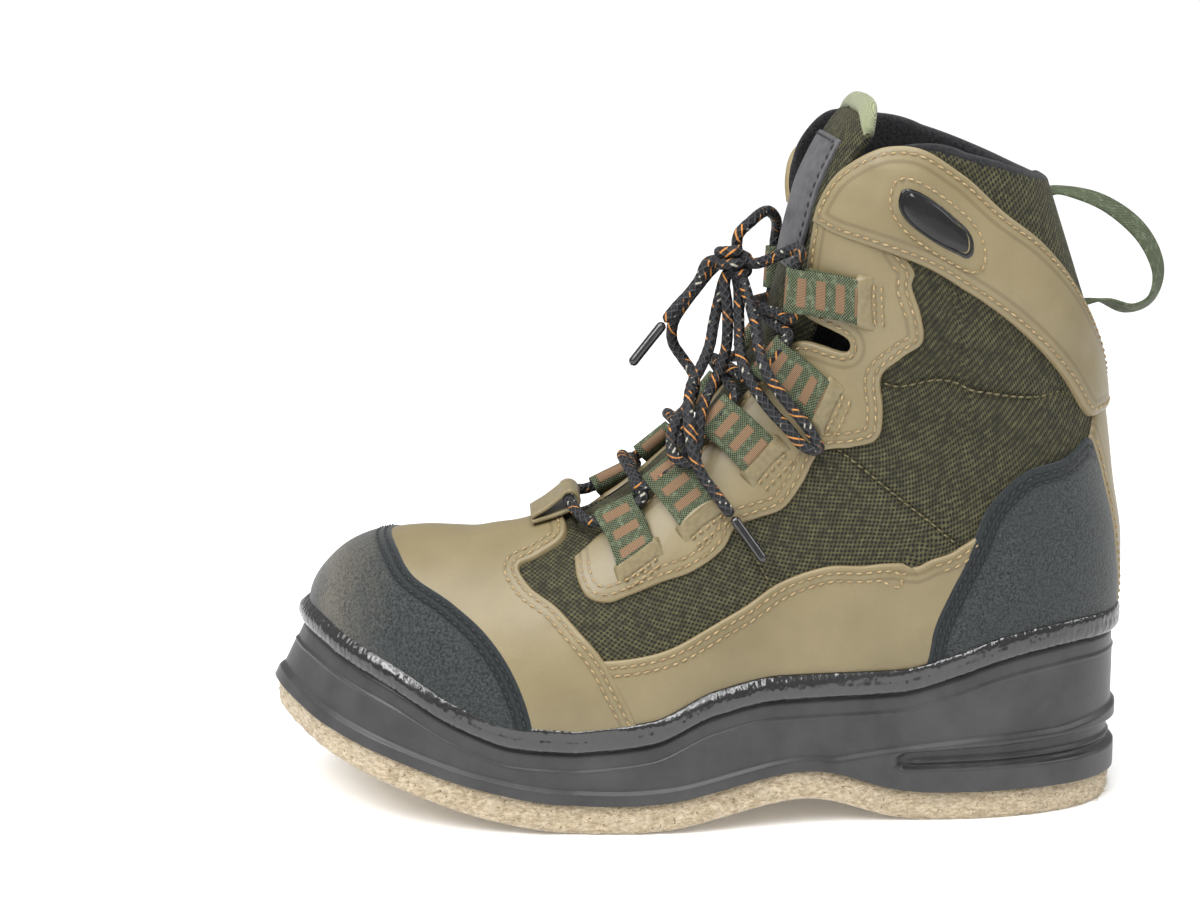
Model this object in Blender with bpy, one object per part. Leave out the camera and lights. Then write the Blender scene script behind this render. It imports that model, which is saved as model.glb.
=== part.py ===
"""Left wading boot: felt sole, rubber cup sole, hollow upper on a last, overlays, tongue and laces.

Metres, +Z up. The toe points to -Y and the outer (lateral) side of the left boot to +X.
The origin lies on the floor under the middle of the heel.
"""
import math

import bmesh
import bpy
import numpy as np
from mathutils import Vector, geometry

# Driving sizes of the sole
SOLE_LENGTH = 0.310
HEEL_OVERHANG = 0.037
FELT_THICKNESS = 0.011
TOE_SPRING = 0.031
ARCH_RISE = 0.013
TOE_STACK = 0.071
BALL_STACK = 0.040
WAIST_STACK = 0.058
HEEL_STACK = 0.074
FOREFOOT_BED = 0.011
HEEL_BED = 0.029

# Driving sizes of the last, over the outside of the upper
LAST_LENGTH = 0.293
LAST_HEEL = 0.033
BALL_WIDTH = 0.102
HEEL_WIDTH = 0.078
ANKLE_WIDTH = 0.087
TOE_BOX_HEIGHT = 0.097
SHAFT_HEIGHT = 0.242

# Walls and fits
FIT = 0.0003
UPPER_WALL = 0.0028
BEAD_HEIGHT = 0.009
BEAD_THICKNESS = 0.0045

# Lines of the sole: place along the sole from heel to toe (share of SOLE_LENGTH), then each line's
# level, where 0 is the toe's value, 1 the ball's, 2 the waist's and 3 the heel's, and the bed's share
# of the way from FOREFOOT_BED to HEEL_BED.
SOLE_COLUMNS = ("along", "ground", "bead", "bed")
SOLE_ROWS = (
    (0.000, 3.00, 3.00, 1.00),
    (0.065, 3.00, 3.00, 1.00),
    (0.113, 3.00, 2.90, 1.00),
    (0.165, 3.00, 2.69, 0.97),
    (0.216, 3.00, 2.34, 0.90),
    (0.281, 3.00, 2.02, 0.72),
    (0.332, 2.38, 2.00, 0.55),
    (0.374, 2.00, 2.00, 0.42),
    (0.419, 1.81, 2.00, 0.30),
    (0.494, 1.35, 1.75, 0.12),
    (0.565, 1.00, 1.18, 0.02),
    (0.652, 1.00, 1.00, 0.00),
    (0.719, 0.90, 0.94, 0.00),
    (0.787, 0.73, 0.69, 0.00),
    (0.858, 0.50, 0.31, 0.00),
    (0.903, 0.36, 0.16, 0.00),
    (0.952, 0.23, 0.02, 0.00),
    (1.000, 0.00, 0.00, 0.00),
)

# Sections of the last, toe to collar. Each is a slanted oval between a front point on the ridge and
# a back point on the sole or heel. Places along are shares of LAST_LENGTH from the heel; front_up runs
# 0 at the feather line, 1 at TOE_BOX_HEIGHT, 2 at SHAFT_HEIGHT; back_up runs 0 on the floor, 1 at the
# feather line, 2 at SHAFT_HEIGHT. Half widths are shares of half the named width.
LAST_COLUMNS = ("front_along", "front_up", "back_along", "back_up", "width",
                "lateral", "medial", "widest", "front_round", "back_round")
LAST_ROWS = (
    (1.000, 0.00, 1.000, 1.00, "ball", -0.235, 0.235, 0.30, 2.0, 2.6),
    (0.990, 0.36, 0.990, 0.94, "ball", -0.020, 0.430, 0.30, 2.0, 2.6),
    (0.969, 0.61, 0.969, 0.87, "ball", 0.220, 0.610, 0.30, 2.0, 2.6),
    (0.942, 0.80, 0.942, 0.82, "ball", 0.450, 0.730, 0.31, 2.0, 2.7),
    (0.904, 0.93, 0.904, 0.77, "ball", 0.670, 0.840, 0.31, 2.0, 2.8),
    (0.857, 0.99, 0.857, 0.72, "ball", 0.830, 0.940, 0.30, 1.9, 3.0),
    (0.795, 1.00, 0.795, 0.70, "ball", 0.950, 1.000, 0.29, 1.8, 3.0),
    (0.734, 1.02, 0.734, 0.67, "ball", 1.000, 1.020, 0.28, 1.8, 3.0),
    (0.686, 1.05, 0.659, 0.65, "ball", 1.010, 1.000, 0.29, 1.9, 3.0),
    (0.628, 1.12, 0.563, 0.61, "ball", 1.000, 0.910, 0.28, 2.0, 3.0),
    (0.570, 1.23, 0.447, 0.61, "ball", 0.930, 0.790, 0.32, 2.1, 3.2),
    (0.519, 1.33, 0.324, 0.69, "heel", 1.100, 0.970, 0.35, 2.3, 3.5),
    (0.478, 1.45, 0.188, 0.68, "heel", 1.050, 0.985, 0.42, 2.3, 3.5),
    (0.454, 1.56, 0.058, 0.70, "heel", 1.025, 0.985, 0.47, 2.4, 2.6),
    (0.440, 1.66, 0.000, 1.00, "ankle", 0.920, 0.900, 0.50, 2.5, 2.3),
    (0.430, 1.75, -0.005, 1.17, "ankle", 0.965, 0.940, 0.50, 2.7, 2.1),
    (0.420, 1.83, 0.010, 1.31, "ankle", 1.000, 0.975, 0.52, 2.9, 2.0),
    (0.410, 1.90, 0.026, 1.47, "ankle", 1.000, 0.980, 0.54, 3.0, 2.0),
    (0.392, 1.98, 0.044, 1.60, "ankle", 0.990, 0.975, 0.55, 3.0, 2.1),
    (0.372, 2.05, 0.072, 1.73, "ankle", 0.970, 0.965, 0.55, 3.0, 2.1),
    (0.345, 2.11, 0.099, 1.85, "ankle", 0.940, 0.940, 0.55, 3.0, 2.1),
    (0.317, 2.17, 0.126, 1.97, "ankle", 0.920, 0.920, 0.55, 3.0, 2.1),
)
HEEL_SECTION = 14
TOP_SECTION = len(LAST_ROWS) - 1


def column(rows, columns, name):
    """One named column of a table as an array."""
    return np.array([row[columns.index(name)] for row in rows], float)


def monotone(x, y, at):
    """Smooth interpolation that never overshoots its rows."""
    h = np.diff(x)
    slope = np.diff(y) / h
    d = np.zeros(len(x))
    inner = slope[:-1] * slope[1:] > 0
    w1 = 2 * h[1:] + h[:-1]
    w2 = h[1:] + 2 * h[:-1]
    safe = np.where(inner, slope[:-1] * slope[1:], 1.0)
    d[1:-1] = np.where(inner, (w1 + w2) * safe / (w1 * slope[1:] + w2 * slope[:-1] + 1e-30), 0.0)
    d[0], d[-1] = slope[0], slope[-1]
    return hermite(x, y, d, at)


def catmull(y, at):
    """Smooth curve through values at 0, 1, 2 and so on."""
    x = np.arange(len(y), dtype=float)
    return hermite(x, y, np.gradient(y), at)


def hermite(x, y, d, at):
    at = np.clip(np.asarray(at, float), x[0], x[-1])
    i = np.clip(np.searchsorted(x, at, side="right") - 1, 0, len(x) - 2)
    h = x[i + 1] - x[i]
    u = (at - x[i]) / h
    return ((2 * u**3 - 3 * u**2 + 1) * y[i] + (u**3 - 2 * u**2 + u) * h * d[i]
            + (-2 * u**3 + 3 * u**2) * y[i + 1] + (u**3 - u**2) * h * d[i + 1])


def sole_value(name, y):
    """A column of the sole's table at a place along the boot."""
    share = (HEEL_OVERHANG - np.asarray(y, float)) / SOLE_LENGTH
    along = column(SOLE_ROWS, SOLE_COLUMNS, "along")
    return monotone(along, column(SOLE_ROWS, SOLE_COLUMNS, name), share)


def ground_level(y):
    return np.interp(sole_value("ground", y), (0, 1, 2, 3), (TOE_SPRING, 0.0, ARCH_RISE, 0.0))


def felt_top(y):
    return ground_level(y) + FELT_THICKNESS


def bead_top(y):
    return np.interp(sole_value("bead", y), (0, 1, 2, 3), (TOE_STACK, BALL_STACK, WAIST_STACK, HEEL_STACK))


def feather_level(y):
    """Height of the ledge that the upper stands on."""
    return bead_top(y) - BEAD_HEIGHT


def bed_level(y):
    """Height of the footbed's recess in the midsole."""
    return felt_top(y) + FOREFOOT_BED + (HEEL_BED - FOREFOOT_BED) * sole_value("bed", y)


def last_table():
    """The last's sections in metres."""
    value = {name: column(LAST_ROWS, LAST_COLUMNS, name) for name in LAST_COLUMNS if name != "width"}
    half = {"ball": BALL_WIDTH / 2, "heel": HEEL_WIDTH / 2, "ankle": ANKLE_WIDTH / 2}
    halves = np.array([half[row[LAST_COLUMNS.index("width")]] for row in LAST_ROWS])
    front_y = LAST_HEEL - value["front_along"] * LAST_LENGTH
    back_y = LAST_HEEL - value["back_along"] * LAST_LENGTH
    toe_feather = float(feather_level(LAST_HEEL - LAST_LENGTH))
    heel_feather = float(feather_level(LAST_HEEL))
    front_z = np.interp(value["front_up"], (0, 1, 2, 3),
                        (toe_feather, TOE_BOX_HEIGHT, SHAFT_HEIGHT, 2 * SHAFT_HEIGHT - TOE_BOX_HEIGHT))
    back_z = np.where(value["back_up"] <= 1, value["back_up"] * feather_level(back_y),
                      heel_feather + (value["back_up"] - 1) * (SHAFT_HEIGHT - heel_feather))
    return {"front_y": front_y, "front_z": front_z, "back_y": back_y, "back_z": back_z,
            "lateral": value["lateral"] * halves, "medial": value["medial"] * halves,
            "widest": value["widest"], "front_round": value["front_round"],
            "back_round": value["back_round"]}


LAST = last_table()


def last_point(section, degrees):
    """Point on the last: section number, and degrees around from the ridge, lateral side positive."""
    section, degrees = np.broadcast_arrays(np.asarray(section, float), np.asarray(degrees, float))
    v = {name: catmull(values, section) for name, values in LAST.items()}
    a = np.radians(np.abs(degrees))
    side = np.where(degrees < 0, -1.0, 1.0)
    c, s = np.cos(a), np.abs(np.sin(a))
    power = np.where(c >= 0, v["front_round"], v["back_round"])
    reach = np.abs(c) ** (2 / power)
    wide = s ** (2 / power)
    share = np.where(c >= 0, v["widest"] + (1 - v["widest"]) * reach, v["widest"] * (1 - reach))
    centre = (v["lateral"] - v["medial"]) / 2
    half = (v["lateral"] + v["medial"]) / 2
    return np.stack((centre + side * half * wide,
                     v["back_y"] + share * (v["front_y"] - v["back_y"]),
                     v["back_z"] + share * (v["front_z"] - v["back_z"])), axis=-1)


def feather_degrees(section):
    """Degrees around at which a section meets the feather line."""
    section = np.asarray(section, float)
    low, high = np.full(section.shape, 60.0), np.full(section.shape, 180.0)
    for _ in range(40):
        middle = (low + high) / 2
        p = last_point(section, middle)
        above = p[..., 2] > feather_level(p[..., 1])
        low, high = np.where(above, middle, low), np.where(above, high, middle)
    return np.where(section >= HEEL_SECTION - 1e-9, 180.0, low)


# Grid on the last: rows of sections from toe to collar, columns around from the ridge
FOOT_ROWS = 17
SHAFT_ROWS = 6
SIDE_COLUMNS = 9
SNAP = 0.008


def row_sections():
    foot = np.linspace(0, 1, FOOT_ROWS + 1)
    foot = HEEL_SECTION * (1 - (1 - foot) ** 1.6)
    shaft = np.linspace(HEEL_SECTION, TOP_SECTION, SHAFT_ROWS + 1)
    return np.concatenate((foot, shaft[1:]))


ROWS = row_sections()
ROW_FEATHER = feather_degrees(ROWS)


def grid_place(section, degrees):
    """Row and column of a place on the last; columns run 0 on the ridge to SIDE_COLUMNS at the feather."""
    section = np.asarray(section, float)
    reach = feather_degrees(section)
    return np.interp(section, ROWS, np.arange(len(ROWS))), SIDE_COLUMNS * np.asarray(degrees, float) / reach


def plan_ring(points):
    """The upper's foot as a ring from the toe around the lateral side, and its outward plan normals."""
    ring = np.concatenate((points[:FOOT_ROWS + 1, -1], points[1:FOOT_ROWS, 0][::-1]))
    along = np.roll(ring, -1, axis=0) - np.roll(ring, 1, axis=0)
    out = np.stack((-along[:, 1], along[:, 0]), axis=1)
    out /= np.linalg.norm(out, axis=1, keepdims=True)
    return ring, (out if out[FOOT_ROWS // 2, 0] > 0 else -out)


def last_grid():
    """Corner points of the grid and their normals."""
    share = np.arange(-SIDE_COLUMNS, SIDE_COLUMNS + 1) / SIDE_COLUMNS
    points = last_point(ROWS[:, None], share[None, :] * ROW_FEATHER[:, None])
    normals = np.zeros_like(points)
    a, b, c, d = points[:-1, :-1], points[1:, :-1], points[1:, 1:], points[:-1, 1:]
    first, second = np.cross(c - a, b - a), np.cross(d - a, c - a)
    normals[:-1, :-1] += first + second
    normals[1:, :-1] += first
    normals[1:, 1:] += first + second
    normals[:-1, 1:] += second
    seam = normals[FOOT_ROWS:, 0] + normals[FOOT_ROWS:, -1]
    normals[FOOT_ROWS:, 0] = seam
    normals[FOOT_ROWS:, -1] = seam
    ring, out = plan_ring(points)
    normals[:FOOT_ROWS, -1] = np.column_stack((out[:FOOT_ROWS], np.zeros(FOOT_ROWS)))
    normals[1:FOOT_ROWS, 0] = np.column_stack((out[:FOOT_ROWS:-1], np.zeros(FOOT_ROWS - 1)))
    normals[0] = (0.0, -1.0, 0.0)
    normals[FOOT_ROWS, [0, -1]] = (0.0, 1.0, 0.0)
    normals /= np.linalg.norm(normals, axis=-1, keepdims=True)
    return points, normals


GRID_POINTS, GRID_NORMALS = last_grid()


def grid_value(grid, row, col):
    """Value on the flat triangles of the grid, whose diagonals run up the rows and columns."""
    row = np.clip(row, 0, len(ROWS) - 1)
    col = np.clip(col, -SIDE_COLUMNS, SIDE_COLUMNS) + SIDE_COLUMNS
    i = np.minimum(row.astype(int), len(ROWS) - 2)
    j = np.minimum(col.astype(int), 2 * SIDE_COLUMNS - 1)
    u, v = (row - i)[..., None], (col - j)[..., None]
    p00, p10, p01, p11 = grid[i, j], grid[i + 1, j], grid[i, j + 1], grid[i + 1, j + 1]
    return np.where(u >= v, p00 + u * (p10 - p00) + v * (p11 - p10), p00 + v * (p01 - p00) + u * (p11 - p01))


def with_row_points(outline):
    """The outline with a point on each row that it passes near the heel, where rows turn fast."""
    result = []
    for (s0, d0), (s1, d1) in zip(outline, outline[1:] + outline[:1]):
        result.append((s0, d0))
        if d0 == 180 or d1 == 180:
            continue
        between = [r for r in ROWS if min(s0, s1) + 0.02 < r < max(s0, s1) - 0.02 and 12.2 < r <= HEEL_SECTION]
        for r in sorted(between, reverse=s1 < s0):
            result.append((float(r), d0 + (d1 - d0) * (r - s0) / (s1 - s0)))
    return result


def cut_sheet(outline):
    """Triangles of the grid inside an outline of (section, degrees) places, cut cleanly along it."""
    sections, degrees = np.array(with_row_points(outline), float).T
    rows, cols = grid_place(sections, degrees)
    edge = [(float(r), float(c)) for r, c in zip(rows, cols)]
    r0, r1 = max(0, math.floor(rows.min())), min(len(ROWS) - 1, math.ceil(rows.max()))
    c0 = max(-SIDE_COLUMNS, math.floor(cols.min()))
    c1 = min(SIDE_COLUMNS, math.ceil(cols.max()))
    places = [(float(r), float(c)) for r in range(r0, r1 + 1) for c in range(c0, c1 + 1)]
    wide = c1 - c0 + 1
    links = []
    for r in range(r1 - r0 + 1):
        for c in range(wide):
            here = r * wide + c
            if c + 1 < wide:
                links.append((here, here + 1))
            if r < r1 - r0:
                links.append((here, here + wide))
                if c + 1 < wide:
                    links.append((here, here + wide + 1))
    start = len(places)
    places += edge
    ring = list(range(start, start + len(edge)))
    area = sum(a[0] * b[1] - b[0] * a[1] for a, b in zip(edge, edge[1:] + edge[:1]))
    if area < 0:
        ring.reverse()
    verts, _, faces, _, _, origin = geometry.delaunay_2d_cdt([Vector(p) for p in places], links, [ring], 0, SNAP)
    kept = [tuple(f) for f, source in zip(faces, origin) if source]
    return np.round(np.array([tuple(v) for v in verts]), 4), kept


def sheet_solid(outlines, low, high):
    """Closed shell over outlines on the last, from low to high above it; both may be functions."""
    base, normal, place, index, faces = [], [], [], {}, []
    for outline in outlines:
        rc, kept = cut_sheet(outline)
        points = grid_value(GRID_POINTS, rc[:, 0], rc[:, 1])
        normals = grid_value(GRID_NORMALS, rc[:, 0], rc[:, 1])
        ids = []
        for k in range(len(rc)):
            row, col = rc[k]
            tip, seam = row == 0, row >= FOOT_ROWS and abs(col) == SIDE_COLUMNS
            key = (row, 0.0 if tip else abs(col) if seam else col)
            if key not in index:
                index[key] = len(base)
                base.append(points[k])
                normal.append(normals[k])
                place.append(rc[k])
            ids.append(index[key])
        for f in kept:
            a, b, c = (rc[k] for k in f)
            counter = np.cross(b - a, c - a) > 0
            corner = [ids[k] for k in (f[::-1] if counter else f)]
            if len(set(corner)) == 3:
                faces.append(corner)
    base, normal, place = np.array(base), np.array(normal), np.array(place)
    lift = [d(place) if callable(d) else np.full(len(base), d) for d in (low, high)]
    count = len(base)
    verts = np.concatenate((base + normal * lift[0][:, None], base + normal * lift[1][:, None]))
    solid = [(a, c, b) for a, b, c in faces] + [(a + count, b + count, c + count) for a, b, c in faces]
    edges = {(f[k], f[(k + 1) % 3]) for f in faces for k in range(3)}
    for a, b in edges:
        if (b, a) not in edges:
            solid += [(a, b, b + count), (a, b + count, a + count)]
    return verts, solid


def add_object(name, verts, faces, colour, rough=0.6):
    """Object from points and faces, without the points that no face uses."""
    mesh = bpy.data.meshes.new(name)
    used = sorted({k for f in faces for k in f})
    new = {k: i for i, k in enumerate(used)}
    mesh.from_pydata([tuple(map(float, verts[k])) for k in used], [], [[new[k] for k in f] for f in faces])
    mesh.validate()
    ob = bpy.data.objects.new(name, mesh)
    bpy.context.scene.collection.objects.link(ob)
    paint(ob, name, colour, rough)
    return ob


def paint(ob, name, colour, rough):
    mat = bpy.data.materials.new(name)
    mat.use_nodes = True
    shader = mat.node_tree.nodes["Principled BSDF"]
    shader.inputs["Base Color"].default_value = (*colour, 1.0)
    shader.inputs["Roughness"].default_value = rough
    ob.data.materials.append(mat)


TAN = (0.33, 0.25, 0.15)
OLIVE = (0.055, 0.06, 0.03)
SUEDE = (0.05, 0.06, 0.065)
RUBBER = (0.02, 0.02, 0.022)
FELT = (0.5, 0.42, 0.3)
BLACK = (0.012, 0.012, 0.013)
WEBBING = (0.09, 0.1, 0.05)
PALE_GREEN = (0.3, 0.33, 0.18)


def mirror(outline):
    """The same outline on the other side of the ridge."""
    return [(s, -d) for s, d in outline]


def level_degrees(section, height):
    """Degrees around at which a section lies a height above the feather line."""
    section = np.asarray(section, float)
    low, high = np.zeros(section.shape), np.full(section.shape, 180.0)
    for _ in range(40):
        middle = (low + high) / 2
        p = last_point(section, middle)
        above = p[..., 2] > feather_level(p[..., 1]) + height
        low, high = np.where(above, middle, low), np.where(above, high, middle)
    return low


def crossing(degrees, height, low, high):
    """Section between two others whose point at these degrees lies a height above the feather line."""
    for _ in range(40):
        middle = (low + high) / 2
        p = last_point(middle, degrees)
        if p[2] > feather_level(p[1]) + height:
            high = middle
        else:
            low = middle
    return (low + high) / 2


OVERLAY_FOOT = BEAD_HEIGHT + 3 * FIT
TOE_CROSSING = crossing(0.0, OVERLAY_FOOT, 0.0, 3.0)
HEEL_CROSSING = crossing(180.0, OVERLAY_FOOT, HEEL_SECTION - 1.0, HEEL_SECTION + 2.0)


def bead_line(start, end, count=14):
    """Outline places along the top of the bead between two sections, closer together at their ends."""
    share = (1 - np.cos(np.pi * np.linspace(0, 1, count))) / 2
    sections = start + (end - start) * share
    return [(float(s), float(d)) for s, d in zip(sections, level_degrees(sections, OVERLAY_FOOT))]


def shifted(line, sections=0.0, degrees=0.0):
    """A line moved a little along or around the last, to leave a seam's gap."""
    return [(s + sections, d + degrees) for s, d in line]


# Lines on the last as (section, degrees around from the ridge), lateral side, from the ridge down
SEAM = 0.05
TOE_CAP_EDGE = [(4.2, 0), (4.4, 21), (4.8, 38), (5.6, 48), (6.2, 57), (6.7, 69), (7.0, 81)]
TOE_CAP_FOOT = 7.2
VAMP_EDGE = [(6.5, 34), (7.1, 40), (7.7, 50), (8.1, 61), (8.4, 71), (8.6, 83), (8.75, 94)]
VAMP_FOOT = 8.8
STRAP_EDGE = [(8.0, 0), (8.0, 21), (7.4, 27), (6.9, 31)]
MUDGUARD_TOP = [(8.4, 71), (8.9, 74), (9.5, 77), (10.3, 78), (10.9, 77.5), (11.5, 81), (11.9, 86),
                (12.2, 89), (12.7, 92), (13.3, 95)]
COUNTER_EDGE = [(16.3, 141), (15.6, 124), (14.9, 108), (14.4, 101), (13.9, 97), (13.4, 96), (12.6, 97),
                (12.2, 101)]
COUNTER_FOOT = 11.8
BACKSTAY_EDGE = [(16.3, 142.4), (16.0, 147), (15.4, 151), (14.9, 155), (14.5, 161)]
BACKSTAY_FOOT = 166.0
PATCH_TOP = [(16.2, 32), (16.9, 34), (17.7, 39), (18.6, 51), (19.1, 61), (19.5, 76), (19.5, 90), (19.25, 105),
             (19.1, 123), (18.8, 138), (18.4, 150), (17.9, 162), (17.5, 172), (17.4, 180)]
PATCH_FOOT = [(16.2, 32), (16.3, 45), (16.6, 60), (16.9, 74), (17.15, 88), (17.2, 103), (17.1, 116),
              (16.9, 128), (16.6, 141), (16.75, 152), (16.9, 166), (16.95, 180)]
EYESTAY_REAR = [(8.15, 33), (8.15, 42), (8.3, 50), (8.6, 54), (9.0, 55), (9.4, 57), (9.9, 61), (10.4, 61),
                (10.7, 58), (11.0, 60), (11.4, 63), (11.8, 62), (12.3, 60), (12.8, 66), (13.3, 71),
                (13.8, 70), (14.2, 68), (14.9, 74), (15.6, 81), (16.1, 81), (16.5, 79), (16.85, 80)]
THROAT_EDGE = [(8.2, 0), (8.22, 12), (8.4, 22), (8.9, 26), (9.5, 27), (10.1, 27), (10.8, 25), (11.6, 25),
               (12.4, 29), (13.35, 36), (14.1, 56), (14.3, 56), (14.0, 35), (15.0, 33), (16.2, 32)]
TOPLINE_LATERAL = [(16.9, 34), (17.7, 39), (18.6, 51), (19.1, 61), (19.9, 83), (20.3, 106), (20.5, 130),
                   (20.65, 160), (20.7, 180)]
TOPLINE_MEDIAL = [(17.2, 35), (18.3, 39), (19.2, 47), (19.7, 60), (20.2, 83), (20.5, 106), (20.65, 130),
                  (20.7, 160), (20.7, 180)]
TONGUE_EDGE = [(7.4, 0), (7.4, 22), (8.4, 30), (10.0, 36), (12.0, 38), (14.0, 40), (16.0, 40), (18.0, 38),
               (19.2, 34), (19.6, 28)]
TONGUE_END = [(19.6, 28), (20.0, 20), (20.2, 10), (20.25, 0)]
TONGUE_PATCH = [(14.4, 0), (14.4, 22), (18.5, 22), (18.5, 0)]
INSERT_CENTRE = (18.1, 82.0)
INSERT_REACH = (0.42, 15.0)
COLLAR_WALL = 0.006
OVERLAY = 0.0012
TONGUE_THICKNESS = 0.0045
JOINT_ROW = 9
JOINT_GAP = 0.02


def wall(place):
    """Inward thickness of the upper: thicker where the collar is padded."""
    section = np.interp(place[:, 0], np.arange(len(ROWS)), ROWS)
    around = 180 * np.abs(place[:, 1]) / SIDE_COLUMNS
    up = np.clip((section - 15.0) / 3.0, 0, 1)
    back = np.clip((around - 50.0) / 35.0, 0, 1)
    pad = up * up * (3 - 2 * up) * back * back * (3 - 2 * back)
    return -(UPPER_WALL + (COLLAR_WALL - UPPER_WALL) * pad)


def build_upper():
    """The upper in two parts that meet across the waist: the forefoot, and the quarters with the shaft."""
    foot = [(float(s), float(d)) for s, d in zip(ROWS[:FOOT_ROWS + 1], ROW_FEATHER)]
    joint = ROWS[JOINT_ROW]
    ahead, behind = joint - JOINT_GAP / 2, joint + JOINT_GAP / 2
    throat = np.array(THROAT_EDGE[4:6])
    meets = [(s, float(np.interp(s, throat[:, 0], throat[:, 1]))) for s in (ahead, behind)]
    feet = [(s, float(feather_degrees(s))) for s in (ahead, behind)]
    half = foot[:JOINT_ROW] + [feet[0], meets[0]] + THROAT_EDGE[:5][::-1]
    verts, faces = sheet_solid([half + mirror(half[:-1])[::-1]], wall, 0.0)
    add_object("upper_forefoot", verts, faces, OLIVE)
    quarters = []
    for turn, topline in ((list, TOPLINE_LATERAL), (mirror, TOPLINE_MEDIAL)):
        edge = topline[::-1] + THROAT_EDGE[5:][::-1] + [meets[1]]
        quarters.append(turn([feet[1]] + foot[JOINT_ROW + 1:] + edge))
    verts, faces = sheet_solid(quarters, wall, 0.0)
    add_object("upper_quarters", verts, faces, OLIVE)


def build_overlays():
    low, high = FIT, FIT + OVERLAY
    cap = bead_line(TOE_CROSSING, TOE_CAP_FOOT, 18)
    half = cap + TOE_CAP_EDGE[::-1]
    add_object("toe_cap", *sheet_solid([half + mirror(half[1:-1])[::-1]], low, high), SUEDE)
    front = shifted(TOE_CAP_EDGE, SEAM)
    half = front + bead_line(TOE_CAP_FOOT + SEAM, VAMP_FOOT, 8) + VAMP_EDGE[::-1] + STRAP_EDGE[::-1]
    add_object("vamp", *sheet_solid([half + mirror(half[1:-1])[::-1]], low, high), TAN)
    back = [p for p in bead_line(COUNTER_FOOT, HEEL_CROSSING, 18) if p[1] < 177] + [(HEEL_CROSSING, 180.0)]
    for side, turn in (("lateral", list), ("medial", mirror)):
        guard_front = shifted(VAMP_EDGE[4:], SEAM)
        guard_back = shifted([p for p in COUNTER_EDGE if p[0] < 13.5], -1.5 * SEAM, -0.6)
        guard = (MUDGUARD_TOP[1:] + guard_back + bead_line(VAMP_FOOT + SEAM, COUNTER_FOOT - 1.5 * SEAM, 14)[::-1]
                 + guard_front[::-1])
        add_object("mudguard_" + side, *sheet_solid([turn(guard)], low, high), TAN)
        counter = COUNTER_EDGE + [p for p in back if p[1] < BACKSTAY_FOOT] + BACKSTAY_EDGE[::-1]
        add_object("counter_" + side, *sheet_solid([turn(counter)], low, high), SUEDE)
        stay_top = shifted([p for p in PATCH_FOOT if p[1] < 76], -1.5 * SEAM)
        stay = EYESTAY_REAR[:-1] + stay_top[::-1] + THROAT_EDGE[3:-1][::-1]
        add_object("eyestay_" + side, *sheet_solid([turn(stay)], low, high), TAN)
    patches = []
    for turn in (list, mirror):
        patches.append(turn(PATCH_TOP + PATCH_FOOT[1:][::-1]))
    add_object("collar_patch", *sheet_solid(patches, low, high), TAN)
    strip = shifted([p for p in PATCH_FOOT if p[1] > 140][::-1], -1.5 * SEAM)
    strip += shifted(BACKSTAY_EDGE, 0, 0.8) + [p for p in back if p[1] > BACKSTAY_FOOT + 1.0]
    add_object("backstay", *sheet_solid([strip, mirror(strip)], low, high), TAN)
    for side, turn in (("lateral", list), ("medial", mirror)):
        ring = [(INSERT_CENTRE[0] + INSERT_REACH[0] * math.sin(a), INSERT_CENTRE[1] + INSERT_REACH[1] * math.cos(a))
                for a in np.linspace(0, 2 * math.pi, 16, endpoint=False)]
        top = FIT + OVERLAY + FIT
        add_object("ankle_insert_" + side, *sheet_solid([turn(ring)], top, top + 0.0015), RUBBER, 0.4)


def build_tongue():
    high = -(UPPER_WALL + 1.5 * FIT)
    low = high - TONGUE_THICKNESS
    body = TONGUE_EDGE + [(19.6, 0)]
    add_object("tongue", *sheet_solid([body + mirror(body[1:-1])[::-1]], low, high), OLIVE)
    end = [(19.63, 0), (19.63, 28)] + TONGUE_END[1:]
    add_object("tongue_binding", *sheet_solid([end + mirror(end[1:-1])[::-1]], low - 0.0008, high + 0.0008),
               PALE_GREEN)
    half = TONGUE_PATCH
    add_object("tongue_patch", *sheet_solid([half + mirror(half[1:-1])[::-1]], high + FIT, high + FIT + 0.001),
               BLACK)


# Sole: margins and flares outward from the upper's foot, and the midsole's side from felt to ledge
LEDGE_MARGIN = 0.0024
SOLE_MARGIN = 0.0010
TOE_FLARE = 0.0115
HEEL_FLARE = 0.0030
RECESS_WALL = 0.0008
INSOLE_THICKNESS = 0.004
PROFILE_COLUMNS = ("forefoot_share", "heel_share", "forefoot_out", "heel_out")
PROFILE_DEPTH = 0.0020
PROFILE_ROWS = (
    (0.00, 0.00, 0.00, 0.00),
    (0.06, 0.03, 0.80, 0.60),
    (0.16, 0.09, 0.75, 0.60),
    (0.21, 0.14, 0.10, 0.35),
    (0.28, 0.18, 0.10, -1.10),
    (0.35, 0.29, 0.15, -1.00),
    (0.42, 0.34, 0.15, 0.75),
    (0.48, 0.43, 0.20, 0.90),
    (0.55, 0.49, 0.20, 0.15),
    (0.66, 0.74, 0.20, 0.20),
    (0.70, 0.78, 0.50, 0.50),
    (0.92, 0.94, 0.35, 0.35),
    (1.00, 1.00, -0.20, -0.20),
)
HEEL_FORM = (-0.090, -0.055)


RING, RING_OUT = plan_ring(GRID_POINTS)


def ring_at(distance, level):
    """A ring at a distance outward from the upper's foot, at levels."""
    return np.column_stack((RING[:, :2] + RING_OUT * np.reshape(distance, (-1, 1)), np.broadcast_to(level, len(RING))))


def sole_edge():
    flare = TOE_FLARE * np.clip(-RING_OUT[:, 1], 0, 1) ** 2 + HEEL_FLARE * np.clip(RING_OUT[:, 1], 0, 1) ** 2
    return SOLE_MARGIN + flare


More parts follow.
